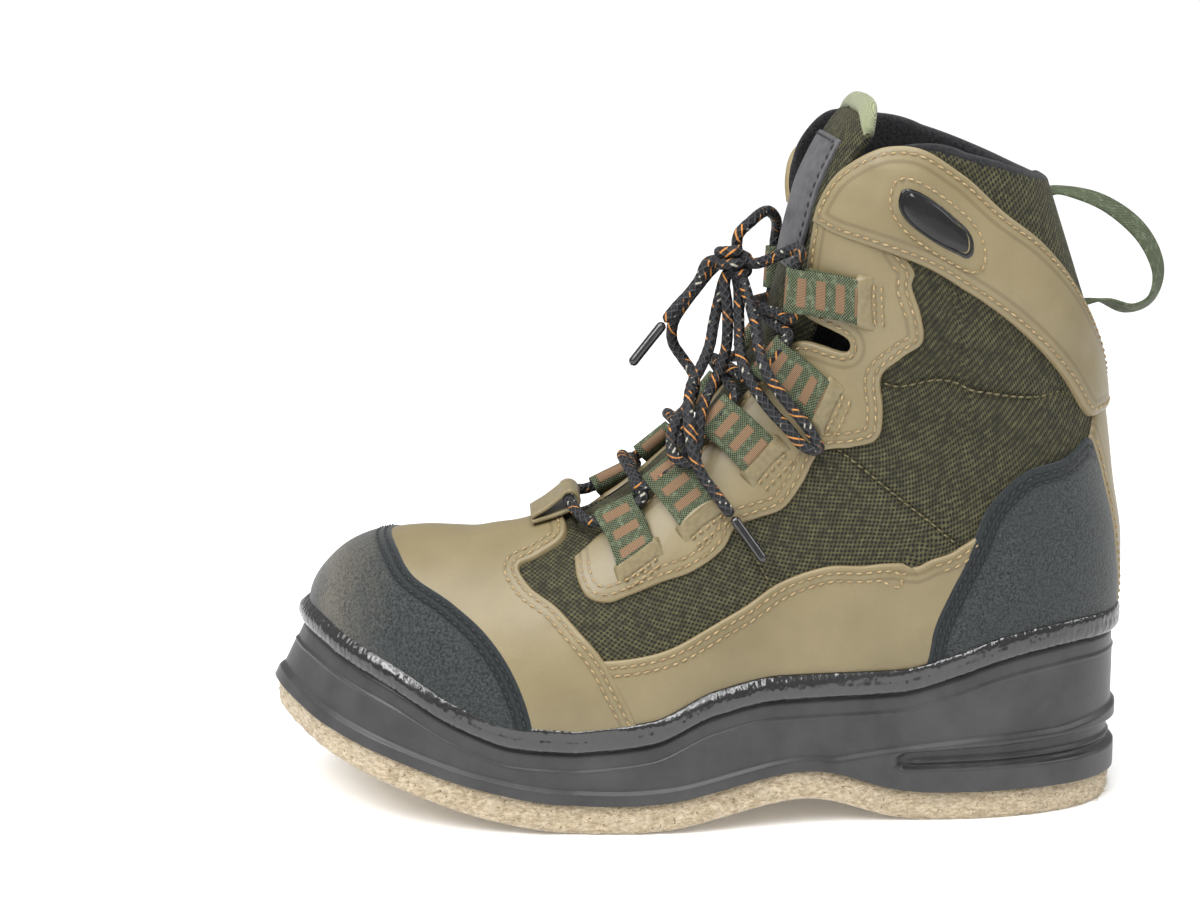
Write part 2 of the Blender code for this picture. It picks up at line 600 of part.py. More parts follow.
def side_ring(share, out):
    """A ring on the midsole's side, from the felt (0) to the ledge (1)."""
    low = ring_at(sole_edge(), 0.0)
    low[:, 2] = felt_top(low[:, 1]) + FIT
    high = ring_at(LEDGE_MARGIN, RING[:, 2] - FIT)
    share, out = np.reshape(share, (-1, 1)), np.reshape(out, (-1, 1))
    ring = low + (high - low) * share
    ring[:, :2] += RING_OUT * out
    return ring


def ladder(start, flip):
    """Faces across a ring whose points pair up side to side."""
    n = len(RING)
    faces = []
    for k in range(FOOT_ROWS):
        quad = [start + k, start + k + 1, start + (n - k - 1) % n, start + (n - k) % n]
        quad = list(dict.fromkeys(quad))
        faces.append(quad[::-1] if flip else quad)
    return faces


def stacked(rings, name, colour, rough, closed_tube=False):
    """Solid from rings stacked bottom to top on the outside, or around a tube's section."""
    n = len(RING)
    verts = np.concatenate(rings)
    faces = []
    pairs = [(k, (k + 1) % len(rings)) for k in range(len(rings) if closed_tube else len(rings) - 1)]
    for low, high in pairs:
        for k in range(n):
            m = (k + 1) % n
            faces.append([low * n + k, low * n + m, high * n + m, high * n + k])
    if not closed_tube:
        faces += ladder(0, True) + ladder((len(rings) - 1) * n, False)
    ob = add_object(name, verts, faces, colour, rough)
    tidy_normals(ob)
    return ob


def tidy_normals(ob):
    shape = bmesh.new()
    shape.from_mesh(ob.data)
    bmesh.ops.triangulate(shape, faces=shape.faces[:])
    bmesh.ops.recalc_face_normals(shape, faces=shape.faces[:])
    shape.to_mesh(ob.data)
    shape.free()


def build_sole():
    edge = sole_edge()
    low = ring_at(edge - 0.0008, 0.0)
    low[:, 2] = ground_level(ring_at(edge, 0.0)[:, 1])
    middle, top = ring_at(edge, 0.0), ring_at(edge, 0.0)
    middle[:, 2] = low[:, 2] + 0.25 * FELT_THICKNESS
    top[:, 2] = felt_top(top[:, 1])
    stacked([low, middle, top], "felt_outsole", FELT, 0.95)
    values = {name: column(PROFILE_ROWS, PROFILE_COLUMNS, name) for name in PROFILE_COLUMNS}
    weight = np.clip((RING[:, 1] - HEEL_FORM[0]) / (HEEL_FORM[1] - HEEL_FORM[0]), 0, 1)
    weight = weight * weight * (3 - 2 * weight)
    rings = []
    for k in range(len(PROFILE_ROWS)):
        share = values["forefoot_share"][k] * (1 - weight) + values["heel_share"][k] * weight
        out = values["forefoot_out"][k] * (1 - weight) + values["heel_out"][k] * weight
        rings.append(side_ring(share, out * PROFILE_DEPTH))
    inner = -(UPPER_WALL + RECESS_WALL)
    rings.append(ring_at(inner, RING[:, 2] - FIT))
    rings.append(ring_at(inner, bed_level(RING[:, 1])))
    stacked(rings, "midsole", RUBBER, 0.5)
    footbed = inner - 2 * FIT
    stacked([ring_at(footbed, bed_level(RING[:, 1]) + FIT),
             ring_at(footbed, bed_level(RING[:, 1]) + FIT + INSOLE_THICKNESS)], "insole", BLACK, 0.9)


def contour_offset(height):
    """Distance outward from the upper's foot to its surface at a height above the feather line."""
    toe = crossing(0.0, height, 0.0, 3.0)
    heel = crossing(180.0, height, HEEL_SECTION - 1.0, HEEL_SECTION + 2.0)
    share = (1 - np.cos(np.pi * np.linspace(0, 1, 160))) / 2
    sections = toe + (heel - toe) * share
    around = level_degrees(sections, height)
    plan = np.concatenate((last_point(sections, around), last_point(sections, -around)[::-1]))[:, :2]
    apart = plan[None, :, :] - RING[:, None, :2]
    nearest = np.linalg.norm(apart, axis=2).argmin(axis=1)
    gap = apart[np.arange(len(RING)), nearest]
    return np.sum(gap * RING_OUT, axis=1)


def build_welt():
    middle, top = contour_offset(BEAD_HEIGHT / 2), contour_offset(BEAD_HEIGHT)
    hug = 2 * FIT
    inner_middle = np.maximum(middle, 0) + hug
    inner_top = np.maximum(top, np.minimum(middle, 0)) + hug
    outer = BEAD_THICKNESS
    rings = [
        ring_at(hug, RING[:, 2]),
        ring_at(0.80 * outer, RING[:, 2]),
        ring_at(1.10 * outer, RING[:, 2] + 0.35 * BEAD_HEIGHT),
        ring_at(1.00 * outer, RING[:, 2] + 0.75 * BEAD_HEIGHT),
        ring_at(inner_top + 0.45 * outer, RING[:, 2] + BEAD_HEIGHT),
        ring_at(inner_top, RING[:, 2] + 0.97 * BEAD_HEIGHT),
        ring_at(inner_middle, RING[:, 2] + BEAD_HEIGHT / 2),
    ]
    stacked(rings, "welt", RUBBER, 0.3, closed_tube=True)


# Webbing and laces
WEBBING_THICKNESS = 0.0008
LOOP_WIDTH = 0.015
LACE_DIAMETER = 0.0040
LOOP_PLACES = (
    ((9.15, 27), (9.2, 45)),
    ((10.05, 27), (10.25, 47)),
    ((11.25, 25), (11.5, 47)),
    ((12.75, 31), (12.95, 53)),
    ((14.45, 33), (15.3, 59)),
)
LOOP_LIFT = FIT + OVERLAY + 0.0006
TUNNEL = LACE_DIAMETER / 2 + 0.0004
TUNNEL_HEIGHT = LOOP_LIFT + WEBBING_THICKNESS + TUNNEL


def last_frame(section, degrees):
    """Point on the last, its outward normal and its direction up the boot."""
    p = last_point(section, degrees)
    up = last_point(section + 0.05, degrees) - last_point(section - 0.05, degrees)
    around = last_point(section, degrees + 0.5) - last_point(section, degrees - 0.5)
    normal = np.cross(around, up)
    normal /= np.linalg.norm(normal)
    return p, normal, up / np.linalg.norm(up)


def lift(section, degrees, height):
    p, normal, _ = last_frame(section, degrees)
    return p + normal * height


def band(left_outer, left_inner, right_outer, right_inner, name, colour, rough=0.85):
    """Band solid between the outer and inner paths of its two edges."""
    n = len(left_outer)
    verts = np.concatenate([np.array(path) for path in (left_outer, left_inner, right_outer, right_inner)])
    faces = []
    for k in range(n - 1):
        faces += [[k, k + 1, n + k + 1, n + k], [2 * n + k, 3 * n + k, 3 * n + k + 1, 2 * n + k + 1],
                  [k, 2 * n + k, 2 * n + k + 1, k + 1], [n + k, n + k + 1, 3 * n + k + 1, 3 * n + k]]
    faces += [[0, n, 3 * n, 2 * n], [n - 1, 3 * n - 1, 4 * n - 1, 2 * n - 1]]
    ob = add_object(name, verts, faces, colour, rough)
    tidy_normals(ob)
    return ob


def even_band(outer, inner, across, name, colour):
    """Band solid that is straight across."""
    outer, inner, across = np.array(outer), np.array(inner), np.array(across)
    return band(outer - across, inner - across, outer + across, inner + across, name, colour)


def loop_frame(place, sign):
    """Front and rear of a lace loop, its width direction and its normals."""
    (s0, d0), (s1, d1) = place
    front, front_normal, up = last_frame(s0, sign * d0)
    rear, rear_normal, _ = last_frame(s1, sign * d1)
    along = (front - rear) / np.linalg.norm(front - rear)
    up = up - along * np.dot(up, along)
    return front, rear, along, up / np.linalg.norm(up), front_normal, rear_normal


def build_lace_loop(number, side, sign):
    place = LOOP_PLACES[number - 1]
    (s0, d0), (s1, d1) = place
    front, rear, along, up, front_normal, _ = loop_frame(place, sign)
    ahead = along - front_normal * np.dot(along, front_normal)
    ahead /= np.linalg.norm(ahead)
    t = WEBBING_THICKNESS
    centre = front + front_normal * TUNNEL_HEIGHT
    edges = []
    for reach in (-LOOP_WIDTH / 2, LOOP_WIDTH / 2):
        outer, inner = [], []

        def laid(share, height):
            s, d = s1 + (s0 - s1) * share, sign * (d1 + (d0 - d1) * share)
            pace = np.linalg.norm(last_point(s + 0.5, d) - last_point(s - 0.5, d))
            return lift(s + reach / pace, d, height)

        for share in (0.0, 0.4, 0.75):
            outer.append(laid(share, LOOP_LIFT))
            inner.append(laid(share, LOOP_LIFT + t))
        for turn in np.radians((-90, -45, 0, 45, 90, 125)):
            ray = ahead * math.cos(turn) + front_normal * math.sin(turn)
            outer.append(centre + up * reach + ray * (TUNNEL + t))
            inner.append(centre + up * reach + ray * TUNNEL)
        for share, rise in ((0.55, 0.0016), (0.25, 0.0004), (0.0, 0.0003)):
            outer.append(laid(share, LOOP_LIFT + 2 * t + rise))
            inner.append(laid(share, LOOP_LIFT + t + rise))
        edges += [outer, inner]
    band(*edges, f"lace_loop_{side}_{number}", WEBBING)


THROAT_LOOP_WIDTH = 0.018


def build_throat_loop():
    """Leather strap folded over at the foot of the throat, with the lace's bar through it."""
    t = 0.0014
    base, normal, up = last_frame(7.75, 0.0)
    across = np.array((THROAT_LOOP_WIDTH / 2, 0.0, 0.0))
    forward = np.cross(np.array((1.0, 0.0, 0.0)), normal)
    forward *= np.sign(np.dot(forward, up))
    low = FIT + OVERLAY + 0.0006
    bore = LACE_DIAMETER / 2 + 0.0006
    centre = base + forward * 0.0085 + normal * (low + t + bore)
    outer = [base - forward * 0.007 + normal * (low + 0.0005), base + normal * low]
    inner = [base - forward * 0.007 + normal * (low + 0.0005 + t), base + normal * (low + t)]
    for turn in np.radians((-90, -45, 0, 45, 90, 135)):
        ray = forward * math.cos(turn) + normal * math.sin(turn)
        outer.append(centre + ray * (bore + t))
        inner.append(centre + ray * bore)
    for back, rise in ((0.0, 0.0022), (0.0065, 0.0008)):
        outer.append(base - forward * back + normal * (low + 2 * t + rise))
        inner.append(base - forward * back + normal * (low + t + rise))
    even_band(outer, inner, across, "throat_loop", TAN)
    return centre


PULL_LOOP_WIDTH = 0.012
PULL_LOOP_TOP = 20.3
PULL_LOOP_FOOT = 18.5
PULL_LOOP_PATH = ((0.0065, 0.0012), (0.022, -0.003), (0.036, -0.013), (0.0435, -0.026), (0.042, -0.037),
                  (0.034, -0.041), (0.024, -0.038))


def build_pull_loop():
    """Webbing ribbon behind the collar, from its top seam out and back to the heel patch."""
    top, foot = last_point(PULL_LOOP_TOP, 180.0), last_point(PULL_LOOP_FOOT, 180.0)
    start = top + np.array((0.0, FIT, 0.0))
    end = foot + np.array((0.0, 2 * FIT, 0.0))
    middle = [top + np.array((0.0, y, z)) for y, z in PULL_LOOP_PATH]
    path = smooth_path([start] + middle + [end], 15)
    along = np.gradient(path, axis=0)
    side = np.cross(along, (1.0, 0.0, 0.0))
    side /= np.linalg.norm(side, axis=1, keepdims=True)
    side[0] = side[1]
    even_band(path, path + side * WEBBING_THICKNESS, (PULL_LOOP_WIDTH / 2, 0.0, 0.0), "pull_loop", WEBBING)


def smooth_path(points, count):
    """Evenly spaced points on a smooth curve through some points."""
    points = np.array(points)
    fine = np.linspace(0, len(points) - 1, 40 * len(points))
    curve = np.stack([catmull(points[:, k], fine) for k in range(3)], axis=1)
    run = np.concatenate(([0], np.cumsum(np.linalg.norm(np.diff(curve, axis=0), axis=1))))
    at = np.linspace(0, run[-1], count)
    return np.stack([np.interp(at, run, curve[:, k]) for k in range(3)], axis=1)


def add_tube(name, points, diameter, colour, rough=0.6):
    """Round tube along points, with filled ends."""
    curve = bpy.data.curves.new(name, "CURVE")
    curve.dimensions = "3D"
    curve.bevel_depth = diameter / 2
    curve.bevel_resolution = 2
    curve.use_fill_caps = True
    spline = curve.splines.new("POLY")
    spline.points.add(len(points) - 1)
    for place, p in zip(spline.points, points):
        place.co = (*map(float, p), 1.0)
    ob = bpy.data.objects.new(name, curve)
    bpy.context.scene.collection.objects.link(ob)
    paint(ob, name, colour, rough)
    return ob


def tunnel_ends(number, sign):
    """Where the lace enters and leaves a loop: its lower and its upper end."""
    front, _, _, up, normal, _ = loop_frame(LOOP_PLACES[number - 1], sign)
    centre = front + normal * TUNNEL_HEIGHT
    reach = up * (LOOP_WIDTH / 2 + 0.0025)
    return centre - reach, centre + reach


def strand(start, end, over):
    """Lace points between two loops, across the tongue, over or under the other strand."""
    middle = (start + end) / 2
    ridge = min((last_point(s, 0.0) for s in np.linspace(8.5, 16, 76)),
                key=lambda p: np.linalg.norm((p - middle)[1:]))
    section = min(np.linspace(8.5, 16, 76), key=lambda s: np.linalg.norm((last_point(s, 0.0) - middle)[1:]))
    _, normal, _ = last_frame(section, 0.0)
    crest = ridge + normal * (0.0064 if over else 0.0016)
    rise = 0.0034 if over else 0.0028
    quarter = start * 0.70 + middle * 0.30
    far = end * 0.70 + middle * 0.30
    return [quarter + normal * rise, crest, far + normal * rise]


# The bow and the lace's ends as places over the last: section, degrees around, height in millimetres
BOW_COLUMNS = ("section", "degrees", "height")
KNOT_PLACE = (14.19, 5, 14.4)
KNOT_TURNS = 2.1
AGLET_DIAMETER = 0.0036
TO_KNOT_MEDIAL = ((15.36, -31, 4.9), (15.51, -23, 2.6), (15.61, -12, 3.2), (15.58, -4, 5.9), (15.31, 1, 10.2),
                  (14.87, 3, 14.2))
TO_KNOT_LATERAL = ((14.32, 10, 7.2), (14.56, 14, 5.6), (15.00, 22, 3.4), (15.40, 30, 3.6), (15.38, 33, 5.0))
BOW_LEFT = (
    (13.65, 2, 21.1), (13.07, 2, 23.7), (12.28, 1, 25.9), (11.77, 0, 24.2), (11.54, -1, 18.6), (11.43, 3, 11.6),
    (11.26, 9, 9.0), (10.98, 15, 9.9), (10.63, 20, 12.2), (10.39, 25, 12.3), (10.32, 31, 10.4), (10.43, 34, 8.1),
    (10.66, 32, 8.6), (10.90, 28, 11.4), (11.20, 23, 11.6), (11.55, 17, 8.6), (12.09, 11, 7.4), (12.90, 8, 11.7), (13.63, 6, 15.6),
)
BOW_RIGHT = (
    (13.71, 6, 11.0), (12.77, 12, 7.7), (12.39, 21, 8.9), (12.19, 30, 10.5), (12.10, 40, 8.8), (12.14, 49, 7.5),
    (12.18, 56, 6.4), (12.23, 60, 5.5), (12.40, 58, 6.3), (12.43, 50, 7.0), (12.47, 42, 11.1), (12.68, 33, 13.2),
    (13.14, 23, 9.9), (13.77, 10, 10.2),
)
END_FRONT = ((13.97, 5, 23.0), (13.30, 5, 24.9), (12.46, 5, 29.0), (11.96, 5, 30.1))
END_REAR = (
    (13.70, 2, 14.6), (12.80, 4, 14.5), (11.94, 11, 13.6), (11.29, 18, 16.5), (11.00, 25, 18.0), (10.69, 32, 16.0),
    (10.56, 39, 9.9), (10.62, 47, 6.9), (10.69, 55, 5.5),
)
AGLET_LENGTH = 0.019


def places(table):
    """Points of a table of places over the last."""
    section, degrees, height = (column(table, BOW_COLUMNS, name) for name in BOW_COLUMNS)
    return [lift(*place) for place in zip(section, degrees, height / 1000)]


def build_lace(bar):
    """The lace from the knot through all loops, down the one side and up the other, back to the knot."""
    points = list(smooth_path(places(TO_KNOT_LATERAL), 7))
    for sign, numbers in ((1, (5, 4, 3, 2, 1)), (-1, (1, 2, 3, 4, 5))):
        for step, number in enumerate(numbers):
            here = sign if (number % 2 == 1) else -sign
            low, high = tunnel_ends(number, here)
            first, last = (high, low) if sign > 0 else (low, high)
            if sign < 0 and step == 0:
                half = np.array((THROAT_LOOP_WIDTH / 2 + 0.0015, 0.0, 0.0))
                points += [bar + half, bar - half]
            elif step > 0:
                lower = number if sign > 0 else number - 1
                points += strand(points[-1], first, over=(sign > 0) == (lower % 2 == 0))
            points += [first, last]
    points += list(smooth_path(places(TO_KNOT_MEDIAL), 8))
    add_tube("lace", points, LACE_DIAMETER, BLACK)


def build_bow():
    """Knot, two bow loops and two ends with their aglets."""
    centre = places([KNOT_PLACE])[0]
    radius, pitch = 0.6 * LACE_DIAMETER + 0.0025, LACE_DIAMETER + 0.0003
    coil = []
    for turn in np.linspace(0, KNOT_TURNS, round(8 * KNOT_TURNS) + 1):
        a = 2 * math.pi * turn
        rise = (turn - KNOT_TURNS / 2) * pitch
        coil.append(centre + np.array((radius * math.cos(a), radius * math.sin(a), rise)))
    add_tube("lace_knot", coil, LACE_DIAMETER, BLACK)
    add_tube("lace_bow_left", smooth_path(places(BOW_LEFT), 24), LACE_DIAMETER, BLACK)
    add_tube("lace_bow_right", smooth_path(places(BOW_RIGHT), 20), LACE_DIAMETER, BLACK)
    for name, table, count in (("front", END_FRONT, 5), ("rear", END_REAR, 12)):
        path = smooth_path(places(table), count)
        add_tube("lace_end_" + name, path, LACE_DIAMETER, BLACK)
        ahead = (path[-1] - path[-2]) / np.linalg.norm(path[-1] - path[-2])
        start = path[-1] + ahead * FIT
        add_tube("aglet_" + name, [start, start + ahead * AGLET_LENGTH], AGLET_DIAMETER, BLACK, 0.25)


def clear_scene():
    for ob in list(bpy.data.objects):
        bpy.data.objects.remove(ob, do_unlink=True)


def main():
    clear_scene()
    build_upper()
    build_overlays()
    build_tongue()
    build_sole()
    build_welt()
    for number in range(1, len(LOOP_PLACES) + 1):
        build_lace_loop(number, "lateral", 1)
        build_lace_loop(number, "medial", -1)
    build_pull_loop()
    build_lace(build_throat_loop())
    build_bow()


main()
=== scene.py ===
"""Left wading boot in a plain studio: leather, mesh, suede, rubber, felt and laces over its CAD solids."""
import math
from itertools import product

import bmesh
import bpy
import numpy as np
from mathutils import Matrix, Vector, geometry


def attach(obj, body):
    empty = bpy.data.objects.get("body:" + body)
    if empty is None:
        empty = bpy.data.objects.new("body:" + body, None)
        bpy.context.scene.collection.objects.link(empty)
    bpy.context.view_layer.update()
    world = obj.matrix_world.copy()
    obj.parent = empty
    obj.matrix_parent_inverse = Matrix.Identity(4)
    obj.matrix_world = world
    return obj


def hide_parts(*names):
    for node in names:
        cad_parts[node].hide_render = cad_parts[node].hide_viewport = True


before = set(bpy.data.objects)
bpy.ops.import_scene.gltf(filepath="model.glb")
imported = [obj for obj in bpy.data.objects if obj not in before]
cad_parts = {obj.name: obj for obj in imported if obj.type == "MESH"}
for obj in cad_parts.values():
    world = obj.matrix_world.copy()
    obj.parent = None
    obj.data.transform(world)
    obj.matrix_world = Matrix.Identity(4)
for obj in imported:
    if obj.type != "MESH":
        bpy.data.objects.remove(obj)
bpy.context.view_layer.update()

MM = 0.001
FIT = 0.0003
BRAID_PITCH = 3.2 * MM
TUBE_SIDES = 14

# Driving sizes of the sole
SOLE_LENGTH = 0.310
HEEL_OVERHANG = 0.037
FELT_THICKNESS = 0.011
TOE_SPRING = 0.031
ARCH_RISE = 0.013
TOE_STACK = 0.071
BALL_STACK = 0.040
WAIST_STACK = 0.058
HEEL_STACK = 0.074
FOREFOOT_BED = 0.011
HEEL_BED = 0.029

# Driving sizes of the last, over the outside of the upper
LAST_LENGTH = 0.293
LAST_HEEL = 0.033
BALL_WIDTH = 0.102
HEEL_WIDTH = 0.078
ANKLE_WIDTH = 0.087
TOE_BOX_HEIGHT = 0.097
SHAFT_HEIGHT = 0.242

# Walls and fits
UPPER_WALL = 0.0028
BEAD_HEIGHT = 0.009
BEAD_THICKNESS = 0.0045

# Lines of the sole: place along the sole from heel to toe (share of SOLE_LENGTH), then each line's
# level, where 0 is the toe's value, 1 the ball's, 2 the waist's and 3 the heel's, and the bed's share
# of the way from FOREFOOT_BED to HEEL_BED.
SOLE_COLUMNS = ("along", "ground", "bead", "bed")
SOLE_ROWS = (
    (0.000, 3.00, 3.00, 1.00),
    (0.065, 3.00, 3.00, 1.00),
    (0.113, 3.00, 2.90, 1.00),
    (0.165, 3.00, 2.69, 0.97),
    (0.216, 3.00, 2.34, 0.90),
    (0.281, 3.00, 2.02, 0.72),
    (0.332, 2.38, 2.00, 0.55),
    (0.374, 2.00, 2.00, 0.42),
    (0.419, 1.81, 2.00, 0.30),
    (0.494, 1.35, 1.75, 0.12),
    (0.565, 1.00, 1.18, 0.02),
    (0.652, 1.00, 1.00, 0.00),
    (0.719, 0.90, 0.94, 0.00),
    (0.787, 0.73, 0.69, 0.00),
    (0.858, 0.50, 0.31, 0.00),
    (0.903, 0.36, 0.16, 0.00),
    (0.952, 0.23, 0.02, 0.00),
    (1.000, 0.00, 0.00, 0.00),
)

# Sections of the last, toe to collar. Each is a slanted oval between a front point on the ridge and
# a back point on the sole or heel. Places along are shares of LAST_LENGTH from the heel; front_up runs
# 0 at the feather line, 1 at TOE_BOX_HEIGHT, 2 at SHAFT_HEIGHT; back_up runs 0 on the floor, 1 at the
# feather line, 2 at SHAFT_HEIGHT. Half widths are shares of half the named width.
LAST_COLUMNS = ("front_along", "front_up", "back_along", "back_up", "width",
                "lateral", "medial", "widest", "front_round", "back_round")
LAST_ROWS = (
    (1.000, 0.00, 1.000, 1.00, "ball", -0.235, 0.235, 0.30, 2.0, 2.6),
    (0.990, 0.36, 0.990, 0.94, "ball", -0.020, 0.430, 0.30, 2.0, 2.6),
    (0.969, 0.61, 0.969, 0.87, "ball", 0.220, 0.610, 0.30, 2.0, 2.6),
    (0.942, 0.80, 0.942, 0.82, "ball", 0.450, 0.730, 0.31, 2.0, 2.7),
    (0.904, 0.93, 0.904, 0.77, "ball", 0.670, 0.840, 0.31, 2.0, 2.8),
    (0.857, 0.99, 0.857, 0.72, "ball", 0.830, 0.940, 0.30, 1.9, 3.0),
    (0.795, 1.00, 0.795, 0.70, "ball", 0.950, 1.000, 0.29, 1.8, 3.0),
    (0.734, 1.02, 0.734, 0.67, "ball", 1.000, 1.020, 0.28, 1.8, 3.0),
    (0.686, 1.05, 0.659, 0.65, "ball", 1.010, 1.000, 0.29, 1.9, 3.0),
    (0.628, 1.12, 0.563, 0.61, "ball", 1.000, 0.910, 0.28, 2.0, 3.0),
    (0.570, 1.23, 0.447, 0.61, "ball", 0.930, 0.790, 0.32, 2.1, 3.2),
    (0.519, 1.33, 0.324, 0.69, "heel", 1.100, 0.970, 0.35, 2.3, 3.5),
    (0.478, 1.45, 0.188, 0.68, "heel", 1.050, 0.985, 0.42, 2.3, 3.5),
    (0.454, 1.56, 0.058, 0.70, "heel", 1.025, 0.985, 0.47, 2.4, 2.6),
    (0.440, 1.66, 0.000, 1.00, "ankle", 0.920, 0.900, 0.50, 2.5, 2.3),
    (0.430, 1.75, -0.005, 1.17, "ankle", 0.965, 0.940, 0.50, 2.7, 2.1),
    (0.420, 1.83, 0.010, 1.31, "ankle", 1.000, 0.975, 0.52, 2.9, 2.0),
    (0.410, 1.90, 0.026, 1.47, "ankle", 1.000, 0.980, 0.54, 3.0, 2.0),
    (0.392, 1.98, 0.044, 1.60, "ankle", 0.990, 0.975, 0.55, 3.0, 2.1),
    (0.372, 2.05, 0.072, 1.73, "ankle", 0.970, 0.965, 0.55, 3.0, 2.1),
    (0.345, 2.11, 0.099, 1.85, "ankle", 0.940, 0.940, 0.55, 3.0, 2.1),
    (0.317, 2.17, 0.126, 1.97, "ankle", 0.920, 0.920, 0.55, 3.0, 2.1),
)
HEEL_SECTION = 14
TOP_SECTION = len(LAST_ROWS) - 1


def column(rows, columns, name):
    """One named column of a table as an array."""
    return np.array([row[columns.index(name)] for row in rows], float)


def monotone(x, y, at):
    """Smooth interpolation that never overshoots its rows."""
    h = np.diff(x)
    slope = np.diff(y) / h
    d = np.zeros(len(x))
    inner = slope[:-1] * slope[1:] > 0
    w1 = 2 * h[1:] + h[:-1]
    w2 = h[1:] + 2 * h[:-1]
    safe = np.where(inner, slope[:-1] * slope[1:], 1.0)
    d[1:-1] = np.where(inner, (w1 + w2) * safe / (w1 * slope[1:] + w2 * slope[:-1] + 1e-30), 0.0)
    d[0], d[-1] = slope[0], slope[-1]
    return hermite(x, y, d, at)


def catmull(y, at):
    """Smooth curve through values at 0, 1, 2 and so on."""
    x = np.arange(len(y), dtype=float)
    return hermite(x, y, np.gradient(y), at)


def hermite(x, y, d, at):
    at = np.clip(np.asarray(at, float), x[0], x[-1])
    i = np.clip(np.searchsorted(x, at, side="right") - 1, 0, len(x) - 2)
    h = x[i + 1] - x[i]
    u = (at - x[i]) / h
    return ((2 * u**3 - 3 * u**2 + 1) * y[i] + (u**3 - 2 * u**2 + u) * h * d[i]
            + (-2 * u**3 + 3 * u**2) * y[i + 1] + (u**3 - u**2) * h * d[i + 1])


def sole_value(name, y):
    """A column of the sole's table at a place along the boot."""
    share = (HEEL_OVERHANG - np.asarray(y, float)) / SOLE_LENGTH
    along = column(SOLE_ROWS, SOLE_COLUMNS, "along")
    return monotone(along, column(SOLE_ROWS, SOLE_COLUMNS, name), share)


def ground_level(y):
    return np.interp(sole_value("ground", y), (0, 1, 2, 3), (TOE_SPRING, 0.0, ARCH_RISE, 0.0))


def felt_top(y):
    return ground_level(y) + FELT_THICKNESS


def bead_top(y):
    return np.interp(sole_value("bead", y), (0, 1, 2, 3), (TOE_STACK, BALL_STACK, WAIST_STACK, HEEL_STACK))


def feather_level(y):
    """Height of the ledge that the upper stands on."""
    return bead_top(y) - BEAD_HEIGHT


def bed_level(y):
    """Height of the footbed's recess in the midsole."""
    return felt_top(y) + FOREFOOT_BED + (HEEL_BED - FOREFOOT_BED) * sole_value("bed", y)


def run_length(points):
    """Distance along a line of points, from the first one to each."""
    return np.concatenate(([0], np.cumsum(np.linalg.norm(np.diff(points, axis=0), axis=1))))


def at_runs(at, run, points):
    """Points at distances along a line."""
    return np.stack([np.interp(at, run, values) for values in points.T], axis=1)


def ramp(value):
    """Smooth step from 0 to 1."""
    value = np.clip(value, 0, 1)
    return value * value * (3 - 2 * value)


def last_table():
    """The last's sections in metres."""
    value = {name: column(LAST_ROWS, LAST_COLUMNS, name) for name in LAST_COLUMNS if name != "width"}
    half = {"ball": BALL_WIDTH / 2, "heel": HEEL_WIDTH / 2, "ankle": ANKLE_WIDTH / 2}
    halves = np.array([half[row[LAST_COLUMNS.index("width")]] for row in LAST_ROWS])
    front_y = LAST_HEEL - value["front_along"] * LAST_LENGTH
    back_y = LAST_HEEL - value["back_along"] * LAST_LENGTH
    toe_feather = float(feather_level(LAST_HEEL - LAST_LENGTH))
    heel_feather = float(feather_level(LAST_HEEL))
    front_z = np.interp(value["front_up"], (0, 1, 2, 3),
                        (toe_feather, TOE_BOX_HEIGHT, SHAFT_HEIGHT, 2 * SHAFT_HEIGHT - TOE_BOX_HEIGHT))
    back_z = np.where(value["back_up"] <= 1, value["back_up"] * feather_level(back_y),
                      heel_feather + (value["back_up"] - 1) * (SHAFT_HEIGHT - heel_feather))
    return {"front_y": front_y, "front_z": front_z, "back_y": back_y, "back_z": back_z,
            "lateral": value["lateral"] * halves, "medial": value["medial"] * halves,
            "widest": value["widest"], "front_round": value["front_round"],
            "back_round": value["back_round"]}


LAST = last_table()


def last_point(section, degrees):
    """Point on the last: section number, and degrees around from the ridge, lateral side positive."""
    section, degrees = np.broadcast_arrays(np.asarray(section, float), np.asarray(degrees, float))
    v = {name: catmull(values, section) for name, values in LAST.items()}
    a = np.radians(np.abs(degrees))
    side = np.where(degrees < 0, -1.0, 1.0)
    c, s = np.cos(a), np.abs(np.sin(a))
    power = np.where(c >= 0, v["front_round"], v["back_round"])
    reach = np.abs(c) ** (2 / power)
    wide = s ** (2 / power)
    share = np.where(c >= 0, v["widest"] + (1 - v["widest"]) * reach, v["widest"] * (1 - reach))
    centre = (v["lateral"] - v["medial"]) / 2
    half = (v["lateral"] + v["medial"]) / 2
    return np.stack((centre + side * half * wide,
                     v["back_y"] + share * (v["front_y"] - v["back_y"]),
                     v["back_z"] + share * (v["front_z"] - v["back_z"])), axis=-1)


def level_degrees(section, height, low=0.0):
    """Degrees around at which a section lies a height above the feather line."""
    section = np.asarray(section, float)
    low, high = np.full(section.shape, low), np.full(section.shape, 180.0)
    for _ in range(40):
        middle = (low + high) / 2
        p = last_point(section, middle)
        above = p[..., 2] > feather_level(p[..., 1]) + height
        low, high = np.where(above, middle, low), np.where(above, high, middle)
    return low


def feather_degrees(section):
    """Degrees around at which a section meets the feather line."""
    behind = np.asarray(section, float) >= HEEL_SECTION - 1e-9
    return np.where(behind, 180.0, level_degrees(section, 0.0, 60.0))


